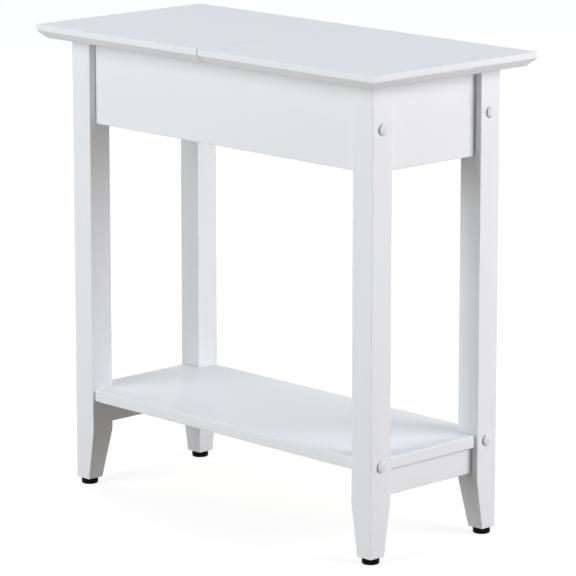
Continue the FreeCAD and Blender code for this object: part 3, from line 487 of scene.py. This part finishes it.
def build_grain_group():
    """Wood grain that runs along one axis of the piece, set by the stretch."""
    group, given, result = new_group(
        "wood_grain",
        [
            ("Light", "Color", (0.8, 0.7, 0.5, 1)),
            ("Dark", "Color", (0.6, 0.45, 0.28, 1)),
            ("Stretch", "Vector", (1, 1, 1)),
            ("Roughness", "Float", 0.6),
        ],
    )
    place = add_node(group, "TexCoord", "place on the piece")
    stretch = add_node(group, "VectorMath", "stretched along the grain", operation="MULTIPLY")
    connect(group, (place, "Object"), (stretch, 0))
    connect(group, (given, "Stretch"), (stretch, 1))
    rings = add_node(group, "TexWave", "growth rings", Scale=28.0, Distortion=5.0, Detail=2.0)
    fibre = add_node(group, "TexNoise", "fibres", Scale=180.0, Detail=4.0, Roughness=0.6)
    for texture in (rings, fibre):
        connect(group, (stretch, 0), (texture, "Vector"))
    blend = maths(group, "rings and fibres", "MULTIPLY", (rings, "Fac"), (fibre, "Fac"))

    # Inputs 6 and 7 of the mix are its two colours, and output 2 is the mixed colour.
    colour = add_node(group, "Mix", "early and late wood", data_type="RGBA")
    connect(group, (blend, 0), (colour, "Factor"))
    connect(group, (given, "Light"), (colour, 6))
    connect(group, (given, "Dark"), (colour, 7))
    connect(group, (colour, 2), (result, "Colour"))
    rough = maths(
        group,
        "rougher fibres",
        "MULTIPLY_ADD",
        (fibre, "Fac"),
        FIBRE_ROUGHNESS,
        (given, "Roughness"),
    )
    connect(group, (rough, 0), (result, "Roughness"))
    connect(group, (blend, 0), (result, "Height"))
    return group


grain_group = build_grain_group()


def bare_wood(name, light, dark, stretch):
    """Planed wood with its grain."""
    inputs = {"Light": (*light, 1), "Dark": (*dark, 1), "Stretch": stretch}
    return finish_from(grain_group, name, inputs, "open grain", strength=0.5, depth=0.06 * MM)


pine = bare_wood(
    "planed_pine", light=(0.72, 0.53, 0.33), dark=(0.50, 0.30, 0.15), stretch=(0.08, 1, 1)
)


def countersunk_hole(head, way):
    """The hole for a countersunk screw whose head lies at a point."""
    head, way = Vector(head), Vector(way)
    neck = head + way * SCREW_HEAD_HEIGHT
    sink = cone(head, neck, SCREW_HEAD_RADIUS + 2 * SCREW_PLAY, SCREW_RADIUS, segments=32)
    start, end = head - way * MM / 2, head + way * HOLE_REACH
    return [sink, rod(start, end, SCREW_RADIUS + SCREW_PLAY, segments=24)]


cleat_screw_places = []
for node in ("cleat_front", "cleat_rear"):
    low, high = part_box(node)
    middle = (low + high) / 2
    side = math.copysign(1, low.y)
    inner_y = low.y if side > 0 else high.y
    batten = block(low, high)
    ease(batten, CLEAT_EASE, lambda at, edge: low.x + MM < at.x < high.x - MM, segments=3)
    upright_x = (low.x + SCREW_MARGIN, high.x - SCREW_MARGIN)
    level_x = (upright_x[0] + SCREW_STEP, upright_x[1] - SCREW_STEP)
    places = [((x, middle.y, low.z), (0, 0, 1)) for x in upright_x]
    places += [((x, inner_y, middle.z), (0, side, 0)) for x in level_x]
    cleat_screw_places += places
    batten = carve(batten, [hole for place in places for hole in countersunk_hole(*place)])
    make_piece(batten, node + "_batten", pine, "frame", "bare_pine", node)


# ---- Lower rails and shelf ----
# Short painted rails dowelled between the legs at each end, under a fibreboard shelf. The shelf is
# notched round the legs and its edges are rounded over, and screws in deep wells in the rails hold
# it down. Nuts for the leg bolts are let into it from below.

SHELF_EASE = 3 * MM
SHELF_UNDER_EASE = 1.5 * MM
SHELF_CLEARANCE = 1 * MM
NOTCH_EASE = 1 * MM
UPRIGHT_EDGE = 5 * MM
SQUARE_CORNER = math.radians(70)
SHELF_SCREW_MARGIN = 37 * MM
SHELF_SCREW_Y = leg_low.y - SHELF_SCREW_MARGIN
SHELF_NUT_SETBACK = 2 * MM
WELL_RADIUS = 4.5 * MM
WELL_DEPTH = 10 * MM

shelf_screw_places = []
for node, outward in (("rail_left", -1), ("rail_right", 1)):
    low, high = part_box(node)
    middle = (low + high) / 2
    face_x = low.x if outward < 0 else high.x
    joint = Vector((0, HAIRLINE, 0))
    rail = block(low + joint, high - joint)
    ease(rail, BOARD_EASE, lambda at, edge: abs(at.x - face_x) < MM)
    ease(rail, INNER_EASE, lambda at, edge: at.z < low.z + CLOSE, segments=3)
    holes = []
    for y in (-SHELF_SCREW_Y, SHELF_SCREW_Y):
        head = (middle.x, y, low.z + WELL_DEPTH)
        holes.append(rod((middle.x, y, low.z - MM), head, WELL_RADIUS))
        holes += countersunk_hole(head, (0, 0, 1))
        shelf_screw_places.append((head, (0, 0, 1)))
    rail = carve(rail, holes)
    make_piece(rail, node + "_board", white_lacquer, "frame", "white_paint", node)

shelf_low, shelf_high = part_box("shelf")
SHELF_MID = (shelf_low.z + shelf_high.z) / 2
shelf_board = block(shelf_low, shelf_high)
ease(shelf_board, SHELF_EASE, lambda at, edge: at.z > shelf_high.z - CLOSE, segments=6)
ease(shelf_board, SHELF_UNDER_EASE, lambda at, edge: at.z < shelf_low.z + CLOSE)
holes = corner_notches(shelf_low, shelf_high, leg_low.x, leg_low.y - SHELF_CLEARANCE)
for x in (-NUT_X, NUT_X):
    for y in (-BOLT_Y, BOLT_Y):
        end_z = shelf_low.z + SHELF_NUT_SETBACK + NUT_LENGTH
        holes.append(rod((x, y, shelf_low.z - MM), (x, y, end_z), NUT_RADIUS + NUT_PLAY))
shelf_board = carve(shelf_board, holes)


def notch_corner(at, edge):
    """Whether an edge is one of the upright corners at the notches."""
    upright = abs(edge.verts[0].co.z - edge.verts[1].co.z) > UPRIGHT_EDGE
    return upright and edge.calc_face_angle() > SQUARE_CORNER


ease(shelf_board, NOTCH_EASE, notch_corner, segments=3)
make_piece(shelf_board, "shelf_board", white_lacquer, "frame", "white_paint", "shelf")


# ---- Top ----
# Two halves of 18 mm fibreboard with an upright band and a bevel routed in under the three outer
# edges. The left half is screwed down. The right half is the lid, and meets it in a narrow seam.

BAND = 8 * MM
BEVEL = 10 * MM
RIM_EASE = 1.2 * MM
BEVEL_EASE = 0.9 * MM
SEAM_EASE = 0.3 * MM
FLUSH = 0.01 * MM
BARREL_RADIUS = 7 * MM
BARREL_LENGTH = 16 * MM
BARREL_LIP = 0.2 * MM
BARREL_PLAY = 0.1 * MM
LINK_WIDTH = 5 * MM
GRUB_RADIUS = 1.5 * MM
GRUB_SETBACK = 3.5 * MM

lid_low, lid_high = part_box("top_lid")
TOP_MID = (lid_low.z + lid_high.z) / 2
HINGE_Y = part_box("hinge_links")[1].y - LINK_WIDTH / 2
BARREL_FACE = lid_low.x + BARREL_LIP
GRUB_X = BARREL_FACE + BARREL_LENGTH - GRUB_SETBACK

for node, body, outward in (("top_fixed", "frame", -1), ("top_lid", "lid", 1)):
    low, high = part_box(node)
    seam_x = high.x if outward < 0 else low.x
    outer_x = low.x if outward < 0 else high.x
    half = block(low, high)
    split(half, (0, 0, high.z - BAND), (0, 0, 1))
    under = [v for v in half.verts if v.co.z < low.z + MM]
    for side in (-1, 1):
        edge_row = [v for v in under if v.co.y * side > 0]
        bmesh.ops.translate(half, vec=(0, -side * BEVEL, 0), verts=edge_row)
    end_row = [v for v in under if abs(v.co.x - outer_x) < MM]
    bmesh.ops.translate(half, vec=(-outward * BEVEL, 0, 0), verts=end_row)

    def at_seam(at, edge):
        return abs(at.x - seam_x) < FLUSH

    def on_rim(at, edge):
        return at.z > high.z - FLUSH and not at_seam(at, edge)

    def on_bevel(at, edge):
        level = abs(at.z - low.z) < FLUSH or abs(at.z - high.z + BAND) < FLUSH
        return level and not at_seam(at, edge)

    ease(half, RIM_EASE, on_rim)
    ease(half, BEVEL_EASE, on_bevel, segments=3)
    ease(half, SEAM_EASE, at_seam, segments=3)
    holes = []
    for y in (-HINGE_Y, HINGE_Y):
        mouth = (seam_x - outward * MM, y, TOP_MID)
        end = (outward * (BARREL_FACE + BARREL_LENGTH), y, TOP_MID)
        holes.append(rod(mouth, end, BARREL_RADIUS + BARREL_PLAY))
        grub_start, grub_end = (outward * GRUB_X, y, low.z - MM), (outward * GRUB_X, y, TOP_MID)
        holes.append(rod(grub_start, grub_end, GRUB_RADIUS + SCREW_PLAY, segments=24))
    half = carve(half, holes)
    make_piece(half, node + "_board", white_lacquer, body, "white_paint", node)


# ---- Hinges ----
# Concealed barrel hinges: a ribbed brass plug in each half of the top, pushed into the seam face,
# and a curved steel link with four rivets that slides in slots in both plugs as the lid turns. A
# grub screw from below locks each plug.

LINK_RADIUS = 9.5 * MM
LINK_THICKNESS = 3 * MM
LINK_EASE = 0.4 * MM
LINK_SPAN = math.radians(124)
SLOT_END_PLAY = math.radians(2.5)
SLOT_SPAN = LINK_SPAN + 2 * SLOT_END_PLAY
SLOT_PLAY = 0.25 * MM
RIVET_RADIUS = 0.9 * MM
RIVET_PROUD = 0.15 * MM
RIVET_LENGTH = LINK_WIDTH + 2 * RIVET_PROUD
RIVET_CHAMFER = 0.2 * MM
RIVET_ANGLES = (-50, -17, 17, 50)
MOUTH_CHAMFER = 0.4 * MM
BLIND_CHAMFER = 0.8 * MM
RIBS = 6
FIRST_RIB = 2.2 * MM
RIB_PITCH = 2.1 * MM
RIB_SLOPE = 0.5 * MM
RIB_DEPTH = 0.25 * MM
GRUB_LENGTH = 6 * MM
GRUB_FACE = 1.2 * MM
GRUB_TIP = 1.1 * MM
GRUB_ROOT = 1.28 * MM
GRUB_RINGS = 9
GRUB_PITCH = 0.6 * MM
SOCKET_RADIUS = 0.8 * MM
SOCKET_DEPTH = 1.6 * MM


def build_metal_group():
    """Worked metal: fine scratches, and blotches where it has dulled."""
    group, given, result = new_group(
        "worked_metal",
        [
            ("Colour", "Color", (0.6, 0.6, 0.6, 1)),
            ("Dulling", "Float", 0.25),
            ("Roughness", "Float", 0.3),
        ],
    )
    place = add_node(group, "TexCoord", "place on the piece")
    blotch = add_node(group, "TexNoise", "dull blotches", Scale=260.0, Detail=4.0)
    scratch = add_node(group, "TexNoise", "fine scratches", Scale=2600.0, Detail=2.0)
    for texture in (blotch, scratch):
        connect(group, (place, "Object"), (texture, "Vector"))
    dull = maths(group, "how dull", "MULTIPLY", (blotch, "Fac"), (given, "Dulling"))
    keep = maths(group, "what is left", "SUBTRACT", 1.0, (dull, 0))
    tint = add_node(group, "VectorMath", "dulled colour", operation="SCALE")
    connect(group, (given, "Colour"), (tint, 0))
    connect(group, (keep, 0), (tint, "Scale"))
    connect(group, (tint, 0), (result, "Colour"))
    rough = maths(group, "dulled gloss", "ADD", (given, "Roughness"), (dull, 0))
    connect(group, (rough, 0), (result, "Roughness"))
    connect(group, (scratch, "Fac"), (result, "Height"))
    return group


metal_group = build_metal_group()


def metal(name, colour, roughness, dulling):
    """A worked metal finish."""
    inputs = {"Colour": (*colour, 1), "Roughness": roughness, "Dulling": dulling}
    material = finish_from(
        metal_group, name, inputs, "fine scratches", strength=0.3, depth=0.01 * MM
    )
    material.node_tree.nodes["Principled BSDF"].inputs["Metallic"].default_value = 1.0
    return material


brass = metal("turned_brass", (0.78, 0.58, 0.27), roughness=0.26, dulling=0.3)
link_steel = metal("stamped_steel", (0.55, 0.55, 0.56), roughness=0.34, dulling=0.3)
zinc = metal("zinc_plated_steel", (0.68, 0.69, 0.70), roughness=0.28, dulling=0.2)


def turned(profile, steps=48):
    """A shape turned about the Z axis from pairs of radius and height."""
    bm = bmesh.new()
    verts = [bm.verts.new((radius, 0, height)) for radius, height in profile]
    edges = [bm.edges.new(pair) for pair in zip(verts, verts[1:])]
    bmesh.ops.spin(
        bm,
        geom=[*verts, *edges],
        cent=(0, 0, 0),
        axis=(0, 0, 1),
        angle=math.tau,
        steps=steps,
        use_merge=True,
    )
    bmesh.ops.remove_doubles(bm, verts=bm.verts, dist=TOUCHING)
    bmesh.ops.recalc_face_normals(bm, faces=bm.faces)
    return bm


def pin(radius, length, chamfer, steps):
    """A turned pin that stands on Z, with both ends chamfered."""
    profile = [(0, 0), (radius - chamfer, 0), (radius, chamfer)]
    profile += [(radius, length - chamfer), (radius - chamfer, length), (0, length)]
    return turned(profile, steps)


def curved_bar(y, span, play, rounding=0.0):
    """A bar bent round the hinge axis, centred straight below it."""
    inner = LINK_RADIUS - LINK_THICKNESS / 2 - play
    outer = LINK_RADIUS + LINK_THICKNESS / 2 + play
    half = LINK_WIDTH / 2 + play
    bm = bmesh.new()
    corners = ((-half, -inner), (half, -inner), (half, -outer), (-half, -outer))
    verts = [bm.verts.new((0, side, drop)) for side, drop in corners]
    face = bm.faces.new(verts)
    start = Matrix.Rotation(-span / 2, 3, "Y")
    bmesh.ops.rotate(bm, cent=(0, 0, 0), matrix=start, verts=bm.verts)
    bmesh.ops.spin(
        bm,
        geom=[face, *face.edges, *face.verts],
        cent=(0, 0, 0),
        axis=(0, 1, 0),
        angle=span,
        steps=24,
    )
    bmesh.ops.recalc_face_normals(bm, faces=bm.faces)
    if rounding:
        ease(bm, rounding, every_edge, segments=3)
    bmesh.ops.translate(bm, vec=(0, y, lid_high.z), verts=bm.verts)
    return bm


rib_root = BARREL_RADIUS - RIB_DEPTH
barrel_profile = [(0, 0), (BARREL_RADIUS - MOUTH_CHAMFER, 0)]
barrel_profile += [(BARREL_RADIUS, MOUTH_CHAMFER), (BARREL_RADIUS, FIRST_RIB)]
for rib in range(RIBS):
    foot = FIRST_RIB + rib * RIB_PITCH
    barrel_profile += [(rib_root, foot + RIB_SLOPE), (rib_root, foot + 2 * RIB_SLOPE)]
    barrel_profile += [(BARREL_RADIUS, foot + 3 * RIB_SLOPE), (BARREL_RADIUS, foot + RIB_PITCH)]
barrel_profile += [(BARREL_RADIUS, BARREL_LENGTH - BLIND_CHAMFER)]
barrel_profile += [(BARREL_RADIUS - BLIND_CHAMFER, BARREL_LENGTH), (0, BARREL_LENGTH)]

for node, body, outward in (("hinge_barrels_fixed", "frame", -1), ("hinge_barrels_lid", "lid", 1)):
    plugs = []
    for y in (-HINGE_Y, HINGE_Y):
        plug = aim(turned(barrel_profile), (outward, 0, 0), (outward * BARREL_FACE, y, TOP_MID))
        plugs.append(carve(plug, [curved_bar(y, SLOT_SPAN, SLOT_PLAY)]))
    make_piece(merge(plugs), node + "_plugs", brass, body, "hinge_brass", node)

links = []
for y in (-HINGE_Y, HINGE_Y):
    links.append(curved_bar(y, LINK_SPAN, play=0.0, rounding=LINK_EASE))
    for angle in RIVET_ANGLES:
        turn = math.radians(angle)
        x, z = LINK_RADIUS * math.sin(turn), lid_high.z - LINK_RADIUS * math.cos(turn)
        rivet = pin(RIVET_RADIUS, RIVET_LENGTH, RIVET_CHAMFER, steps=24)
        links.append(aim(rivet, (0, 1, 0), (x, y - RIVET_LENGTH / 2, z)))
make_piece(merge(links), "hinge_link_bars", link_steel, "hinge_links", "hinge_steel", "hinge_links")

grub_profile = [(0, 0), (GRUB_FACE, 0)]
for ring in range(GRUB_RINGS):
    foot = ring * GRUB_PITCH
    grub_profile += [(GRUB_RADIUS, foot + GRUB_PITCH / 2), (GRUB_ROOT, foot + GRUB_PITCH)]
grub_profile += [(GRUB_TIP, GRUB_LENGTH), (0, GRUB_LENGTH)]

for node, body, outward in (("hinge_screws_fixed", "frame", -1), ("hinge_screws_lid", "lid", 1)):
    grubs = []
    for y in (-HINGE_Y, HINGE_Y):
        socket = rod((0, 0, -MM), (0, 0, SOCKET_DEPTH), SOCKET_RADIUS, segments=6)
        grub = carve(turned(grub_profile, steps=24), [socket])
        grubs.append(aim(grub, (0, 0, 1), (outward * GRUB_X, y, lid_low.z)))
    make_piece(merge(grubs), node + "_grubs", zinc, body, "zinc_steel", node)


# ---- Wood screws ----
# Countersunk zinc-plated screws with a cross recess, driven through the cleats and up through the
# lower rails.

SCREW_BITE = 10 * MM
HEAD_CHAMFER = 0.15 * MM
HEAD_EDGE = 0.2 * MM
NECK_RADIUS = 1.3 * MM
THREAD_START = 4 * MM
THREAD_PITCH = 1.4 * MM
THREAD_ROOT = 1.25 * MM
POINT_LENGTH = 4 * MM
POINT_RADIUS = 1.2 * MM
CROSS_REACH = 1.9 * MM
CROSS_HALF = 0.35 * MM
CROSS_DEPTH = 1.3 * MM


def wood_screw(head, way, length):
    """A countersunk screw with a threaded shank, a point and a cross recess."""
    profile = [(0, 0), (SCREW_HEAD_RADIUS - HEAD_CHAMFER, 0), (SCREW_HEAD_RADIUS, HEAD_EDGE)]
    profile += [(SCREW_RADIUS, SCREW_HEAD_HEIGHT), (NECK_RADIUS, THREAD_START)]
    turns = int((length - THREAD_START - POINT_LENGTH) / THREAD_PITCH)
    for ring in range(turns):
        foot = THREAD_START + ring * THREAD_PITCH
        profile.append((THREAD_ROOT, foot + THREAD_PITCH / 4))
        profile.append((SCREW_RADIUS, foot + THREAD_PITCH / 2))
        profile.append((THREAD_ROOT, foot + THREAD_PITCH * 3 / 4))
    profile += [(POINT_RADIUS, length - POINT_LENGTH), (0, length)]
    recess = [
        block((-CROSS_REACH, -CROSS_HALF, -MM), (CROSS_REACH, CROSS_HALF, CROSS_DEPTH)),
        block((-CROSS_HALF, -CROSS_REACH, -MM), (CROSS_HALF, CROSS_REACH, CROSS_DEPTH)),
    ]
    return aim(carve(turned(profile, steps=32), recess), way, head)


cleat_low, cleat_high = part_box("cleat_front")
rail_low, rail_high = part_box("rail_right")
cleat_length = cleat_high.z - cleat_low.z + SCREW_BITE
shelf_length = rail_high.z - rail_low.z - WELL_DEPTH + SCREW_BITE
cleat_screws = merge([wood_screw(*place, cleat_length) for place in cleat_screw_places])
make_piece(cleat_screws, "cleat_wood_screws", zinc, "frame", "zinc_steel", "cleat_screws")
shelf_screws = merge([wood_screw(*place, shelf_length) for place in shelf_screw_places])
make_piece(shelf_screws, "shelf_wood_screws", zinc, "frame", "zinc_steel", "shelf_screws")


# ---- Bolts, cross dowel nuts and dowels ----
# Zinc-plated bolts through the legs, with round nuts that are turned in line by a slot across
# their end, and fluted beech dowels. All of them are hidden once the table is up, except the ends
# of the nuts inside the box and under the shelf.

NUT_CHAMFER = 0.4 * MM
NUT_SLOT_HALF = 0.6 * MM
NUT_SLOT_DEPTH = 1.4 * MM
BOLT_HOLE_RADIUS = 3.05 * MM

beech = bare_wood(
    "fluted_beech", light=(0.66, 0.45, 0.28), dark=(0.50, 0.31, 0.17), stretch=(0.3, 0.3, 0.6)
)
for node, finish in (
    ("leg_bolts", zinc),
    ("glide_nails", zinc),
    ("apron_dowels", beech),
    ("side_frame_dowels", beech),
    ("seam_rail_dowels", beech),
):
    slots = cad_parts[node].data.materials
    slots.clear()
    slots.append(finish)

nuts = []
nut_y = apron_low.y + NUT_SETBACK
nut_z = shelf_low.z + SHELF_NUT_SETBACK
for x in (-NUT_X, NUT_X):
    for side in (-1, 1):
        for place, way in (
            ((x, side * nut_y, APRON_MID), (0, side, 0)),
            ((x, side * BOLT_Y, nut_z), (0, 0, 1)),
        ):
            reach = NUT_RADIUS + 2 * MM
            slot = block((-reach, -NUT_SLOT_HALF, -MM), (reach, NUT_SLOT_HALF, NUT_SLOT_DEPTH))
            bore_z = NUT_LENGTH / 2
            bore = rod((-reach, 0, bore_z), (reach, 0, bore_z), BOLT_HOLE_RADIUS, segments=32)
            nut = carve(pin(NUT_RADIUS, NUT_LENGTH, NUT_CHAMFER, steps=40), [slot, bore])

            # Each nut is turned about its own axis, to bring its bore in line with X and the bolt.
            across = facing(way).inverted().to_3x3() @ Vector((1, 0, 0))
            spin = Matrix.Rotation(math.atan2(across.y, across.x), 4, "Z")
            bmesh.ops.transform(nut, matrix=spin, verts=nut.verts)
            nuts.append(aim(nut, way, place))
make_piece(merge(nuts), "slotted_nuts", zinc, "frame", "zinc_steel", "cross_dowel_nuts")


# ---- Bolt caps ----
# Domed caps of white moulded plastic, two on each leg, pushed into the recesses over the bolt
# heads. They are a little glossier than the lacquer, and their rim stands about 1 mm off the wood.

CAP_WHITE = (0.735, 0.755, 0.77)
CAP_RADIUS = 7.25 * MM
CAP_HEIGHT = 3.2 * MM
CAP_STEM_RADIUS = 5.4 * MM
CAP_STEM_LENGTH = 3 * MM
CAP_COLLAR_RADIUS = 5.6 * MM
RIM_GAP = 1.1 * MM
RIM_TOP = 1.4 * MM
DIMPLE_RADIUS = 0.9 * MM
DIMPLE_DEPTH = 0.18 * MM
DOME_STEPS = 12

cap_plastic = lacquer(
    "white_cap_plastic", CAP_WHITE, roughness=0.3, drift=0.01, peel=700, depth=0.006 * MM
)
dome = [(0, -CAP_STEM_LENGTH), (CAP_STEM_RADIUS, -CAP_STEM_LENGTH), (CAP_STEM_RADIUS, 0)]
dome += [(CAP_COLLAR_RADIUS, 0), (CAP_COLLAR_RADIUS + 0.1 * MM, RIM_GAP)]
dome += [(CAP_RADIUS - 0.2 * MM, RIM_GAP + 0.05 * MM), (CAP_RADIUS, RIM_TOP - 0.1 * MM)]
for step in range(1, DOME_STEPS):
    lift = math.pi / 2 * step / DOME_STEPS
    height = RIM_TOP + (CAP_HEIGHT - RIM_TOP) * math.sin(lift)
    dome.append((CAP_RADIUS * math.cos(lift), height))
dome += [(DIMPLE_RADIUS, CAP_HEIGHT), (DIMPLE_RADIUS - 0.25 * MM, CAP_HEIGHT - 0.15 * MM)]
dome += [(0, CAP_HEIGHT - DIMPLE_DEPTH)]
caps = []
for side in (-1, 1):
    for y in (-BOLT_Y, BOLT_Y):
        for z in (SHELF_MID, APRON_MID):
            caps.append(aim(turned(dome), (side, 0, 0), (side * leg_high.x, y, z)))
make_piece(merge(caps), "bolt_cap_domes", cap_plastic, "frame", "white_plastic", "bolt_caps")


# ---- Lid pads ----
# Soft clear pads, pushed into shallow recesses in the right end board and the cross rail, so that
# the lid closes without a knock.

PAD_COLOUR = (0.70, 0.71, 0.70)
PAD_CHAMFER = 0.1 * MM
PAD_ROUND = 0.25 * MM

pad_rubber = lacquer(
    "soft_clear_pad", PAD_COLOUR, roughness=0.5, drift=0.03, peel=1200, depth=0.01 * MM
)
pad_profile = [(0, 0), (PAD_RADIUS - PAD_CHAMFER, 0), (PAD_RADIUS, PAD_CHAMFER)]
pad_profile += [(PAD_RADIUS, PAD_DEPTH - PAD_ROUND), (PAD_RADIUS - PAD_ROUND, PAD_DEPTH)]
pad_profile += [(0, PAD_DEPTH)]
pads = []
for x, y in PAD_PLACES:
    pads.append(aim(turned(pad_profile, steps=40), (0, 0, 1), (x, y, pads_low.z)))
make_piece(merge(pads), "lid_pad_discs", pad_rubber, "frame", "soft_pad", "lid_pads")


# ---- Floor glides ----
# Black moulded discs with a rounded rim and a shallow dish underneath for the nail that holds each
# of them to its leg.

GLIDE_BLACK = (0.002, 0.002, 0.002)
GLIDE_SHEEN = 0.06
GLIDE_RADIUS = 11 * MM
GLIDE_HEIGHT = 8 * MM
NAIL_RADIUS = 1.3 * MM
DISH_RADIUS = 3.4 * MM
DISH_DEPTH = 4 * MM
COLLAR_RADIUS = 9 * MM
COLLAR_FOOT = GLIDE_HEIGHT - 1 * MM

glide_plastic = lacquer(
    "black_glide_plastic", GLIDE_BLACK, roughness=0.24, drift=0.3, peel=900, depth=0.02 * MM
)
glide_shader = glide_plastic.node_tree.nodes["Principled BSDF"]
glide_shader.inputs["Specular IOR Level"].default_value = GLIDE_SHEEN

# From the nail hole down the wall of the dish, out under the rim, up its side and in over the top.
glide_profile = [(NAIL_RADIUS, DISH_DEPTH), (DISH_RADIUS - 0.2 * MM, DISH_DEPTH)]
glide_profile += [(DISH_RADIUS, DISH_DEPTH - 0.2 * MM), (DISH_RADIUS, 0.6 * MM)]
glide_profile += [(DISH_RADIUS + 0.5 * MM, 0), (GLIDE_RADIUS - 1.7 * MM, 0)]
glide_profile += [(GLIDE_RADIUS - 0.9 * MM, 0.25 * MM), (GLIDE_RADIUS - 0.3 * MM, 0.8 * MM)]
glide_profile += [(GLIDE_RADIUS, 1.6 * MM), (GLIDE_RADIUS, COLLAR_FOOT - 1.1 * MM)]
glide_profile += [(GLIDE_RADIUS - 0.2 * MM, COLLAR_FOOT - 0.4 * MM)]
glide_profile += [(GLIDE_RADIUS - 0.8 * MM, COLLAR_FOOT), (COLLAR_RADIUS, COLLAR_FOOT)]
glide_profile += [(COLLAR_RADIUS, GLIDE_HEIGHT), (NAIL_RADIUS, GLIDE_HEIGHT)]
glide_profile.append(glide_profile[0])
for node in ("glide_front_left", "glide_front_right", "glide_rear_left", "glide_rear_right"):
    low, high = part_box(node)
    centre = (low + high) / 2
    disc = aim(turned(glide_profile, steps=64), (0, 0, 1), (centre.x, centre.y, low.z))
    make_piece(disc, node + "_disc", glide_plastic, "frame", "black_plastic", node)


# ---- Floor, light and camera ----
# A plain pale floor that runs out of sight, seven large soft lamps, and a long lens.

FLOOR_SIZE = 14
FLOOR_COLOUR = (0.30, 0.27, 0.235)
GLOW_COLOUR = (0.96, 0.98, 1)
NEAR, NEAR_GLOW = 0.5, 0.83
FAR, FAR_GLOW = 3.0, 0.97
AMBIENT = 0.08
LAMP_AIM = Vector((0, 0, 0.35))
FRAME_PIXELS = 576
FOCAL_PIXELS = 3640
SENSOR_WIDTH = 36
AZIMUTH = math.radians(46.02)
ELEVATION = math.radians(12.19)
CAMERA_PLACE = (3.26638, -3.13924, 1.26701)


def seen_or_mirrored(tree):
    """One for a camera, reflected or transmitted ray, nought for the light's own path."""
    path = add_node(tree, "LightPath", "what looks at it")
    glossy, through = (path, "Is Glossy Ray"), (path, "Is Transmission Ray")
    mirrored = maths(tree, "reflected or transmitted", "MAXIMUM", glossy, through)
    return maths(tree, "or seen", "MAXIMUM", (path, "Is Camera Ray"), (mirrored, 0))


def pale_surface(name, colour):
    """A matt surface that shows near white to the camera and in reflections."""
    material, tree, shader = new_material(name)
    tree.nodes.remove(shader)
    matt = add_node(tree, "BsdfDiffuse", "matt paint", Color=(*colour, 1))
    light = add_node(tree, "Emission", "bright to the eye", Color=(*GLOW_COLOUR, 1))
    place = add_node(tree, "TexCoord", "place on the floor")
    reach = add_node(tree, "VectorMath", "distance from the table", operation="LENGTH")
    connect(tree, (place, "Object"), (reach, 0))
    fade = add_node(
        tree,
        "MapRange",
        "brighter further out",
        From_Min=NEAR,
        From_Max=FAR,
        To_Min=NEAR_GLOW,
        To_Max=FAR_GLOW,
    )
    connect(tree, (reach, "Value"), (fade, "Value"))
    level = maths(tree, "how bright", "MULTIPLY", (seen_or_mirrored(tree), 0), (fade, 0))
    connect(tree, (level, 0), (light, "Strength"))
    both = add_node(tree, "AddShader", "matt and bright")
    connect(tree, (matt, 0), (both, 0))
    connect(tree, (light, 0), (both, 1))
    connect(tree, (both, 0), (tree.nodes["Material Output"], "Surface"))
    return material


floor_sheet = bmesh.new()
bmesh.ops.create_grid(floor_sheet, x_segments=1, y_segments=1, size=FLOOR_SIZE)
floor_mesh = bpy.data.meshes.new("floor")
floor_sheet.to_mesh(floor_mesh)
floor_sheet.free()
floor_mesh.materials.append(pale_surface("pale_floor", FLOOR_COLOUR))
floor = bpy.data.objects.new("floor", floor_mesh)
bpy.context.scene.collection.objects.link(floor)

world = bpy.data.worlds.new("studio")
world.use_nodes = True
bpy.context.scene.world = world
sky = world.node_tree
ambient = sky.nodes["Background"]
ambient.inputs["Color"].default_value = (1, 1, 1, 1)
ambient.inputs["Strength"].default_value = AMBIENT
white = add_node(sky, "Background", "white behind the table", Color=(1, 1, 1, 1), Strength=1.0)
choice = add_node(sky, "MixShader", "white to the eye and in reflections")
connect(sky, (seen_or_mirrored(sky), 0), (choice, 0))
connect(sky, (ambient, 0), (choice, 1))
connect(sky, (white, 0), (choice, 2))
connect(sky, (choice, 0), (sky.nodes["World Output"], "Surface"))


def lamp(name, place, size, watts, colour):
    """A square soft lamp that looks at the table. The gloss mirrors the pale room, not the lamp."""
    data = bpy.data.lights.new(name, "AREA")
    data.shape = "SQUARE"
    data.size = size
    data.energy = watts
    data.color = colour
    item = bpy.data.objects.new(name, data)
    item.location = place
    towards = LAMP_AIM - Vector(place)
    item.rotation_euler = towards.to_track_quat("-Z", "Y").to_euler()
    item.visible_glossy = False
    bpy.context.scene.collection.objects.link(item)


lamp("overhead_lamp", (0.2, -0.2, 3.2), size=2.6, watts=13.5, colour=(0.82, 0.94, 1.0))
lamp("front_lamp", (-0.6, -3.1, 1.75), size=2.4, watts=72, colour=(0.90, 0.94, 1.0))
lamp("low_front_lamp", (-0.4, -3.3, 0.95), size=1.6, watts=31, colour=(1.0, 0.95, 0.90))
lamp("rear_right_lamp", (3.0, 1.4, 1.55), size=2.2, watts=77, colour=(0.93, 0.96, 1.0))
lamp("low_rear_lamp", (2.6, 1.9, 0.95), size=1.8, watts=36, colour=(1.0, 0.89, 0.90))
lamp("left_lamp", (-3.1, 0.6, 1.6), size=2.2, watts=37, colour=(1.0, 1.0, 1.0))
lamp("back_lamp", (-0.8, 3.1, 1.7), size=2.2, watts=20, colour=(1.0, 1.0, 1.0))

lens = bpy.data.cameras.new("long_lens")
lens.sensor_width = SENSOR_WIDTH
lens.lens = FOCAL_PIXELS / FRAME_PIXELS * SENSOR_WIDTH
camera = bpy.data.objects.new("camera", lens)
camera.location = CAMERA_PLACE
camera.rotation_euler = (math.pi / 2 - ELEVATION, 0, AZIMUTH)
bpy.context.scene.collection.objects.link(camera)
bpy.context.scene.camera = camera
bpy.context.scene.view_settings.view_transform = "Standard"
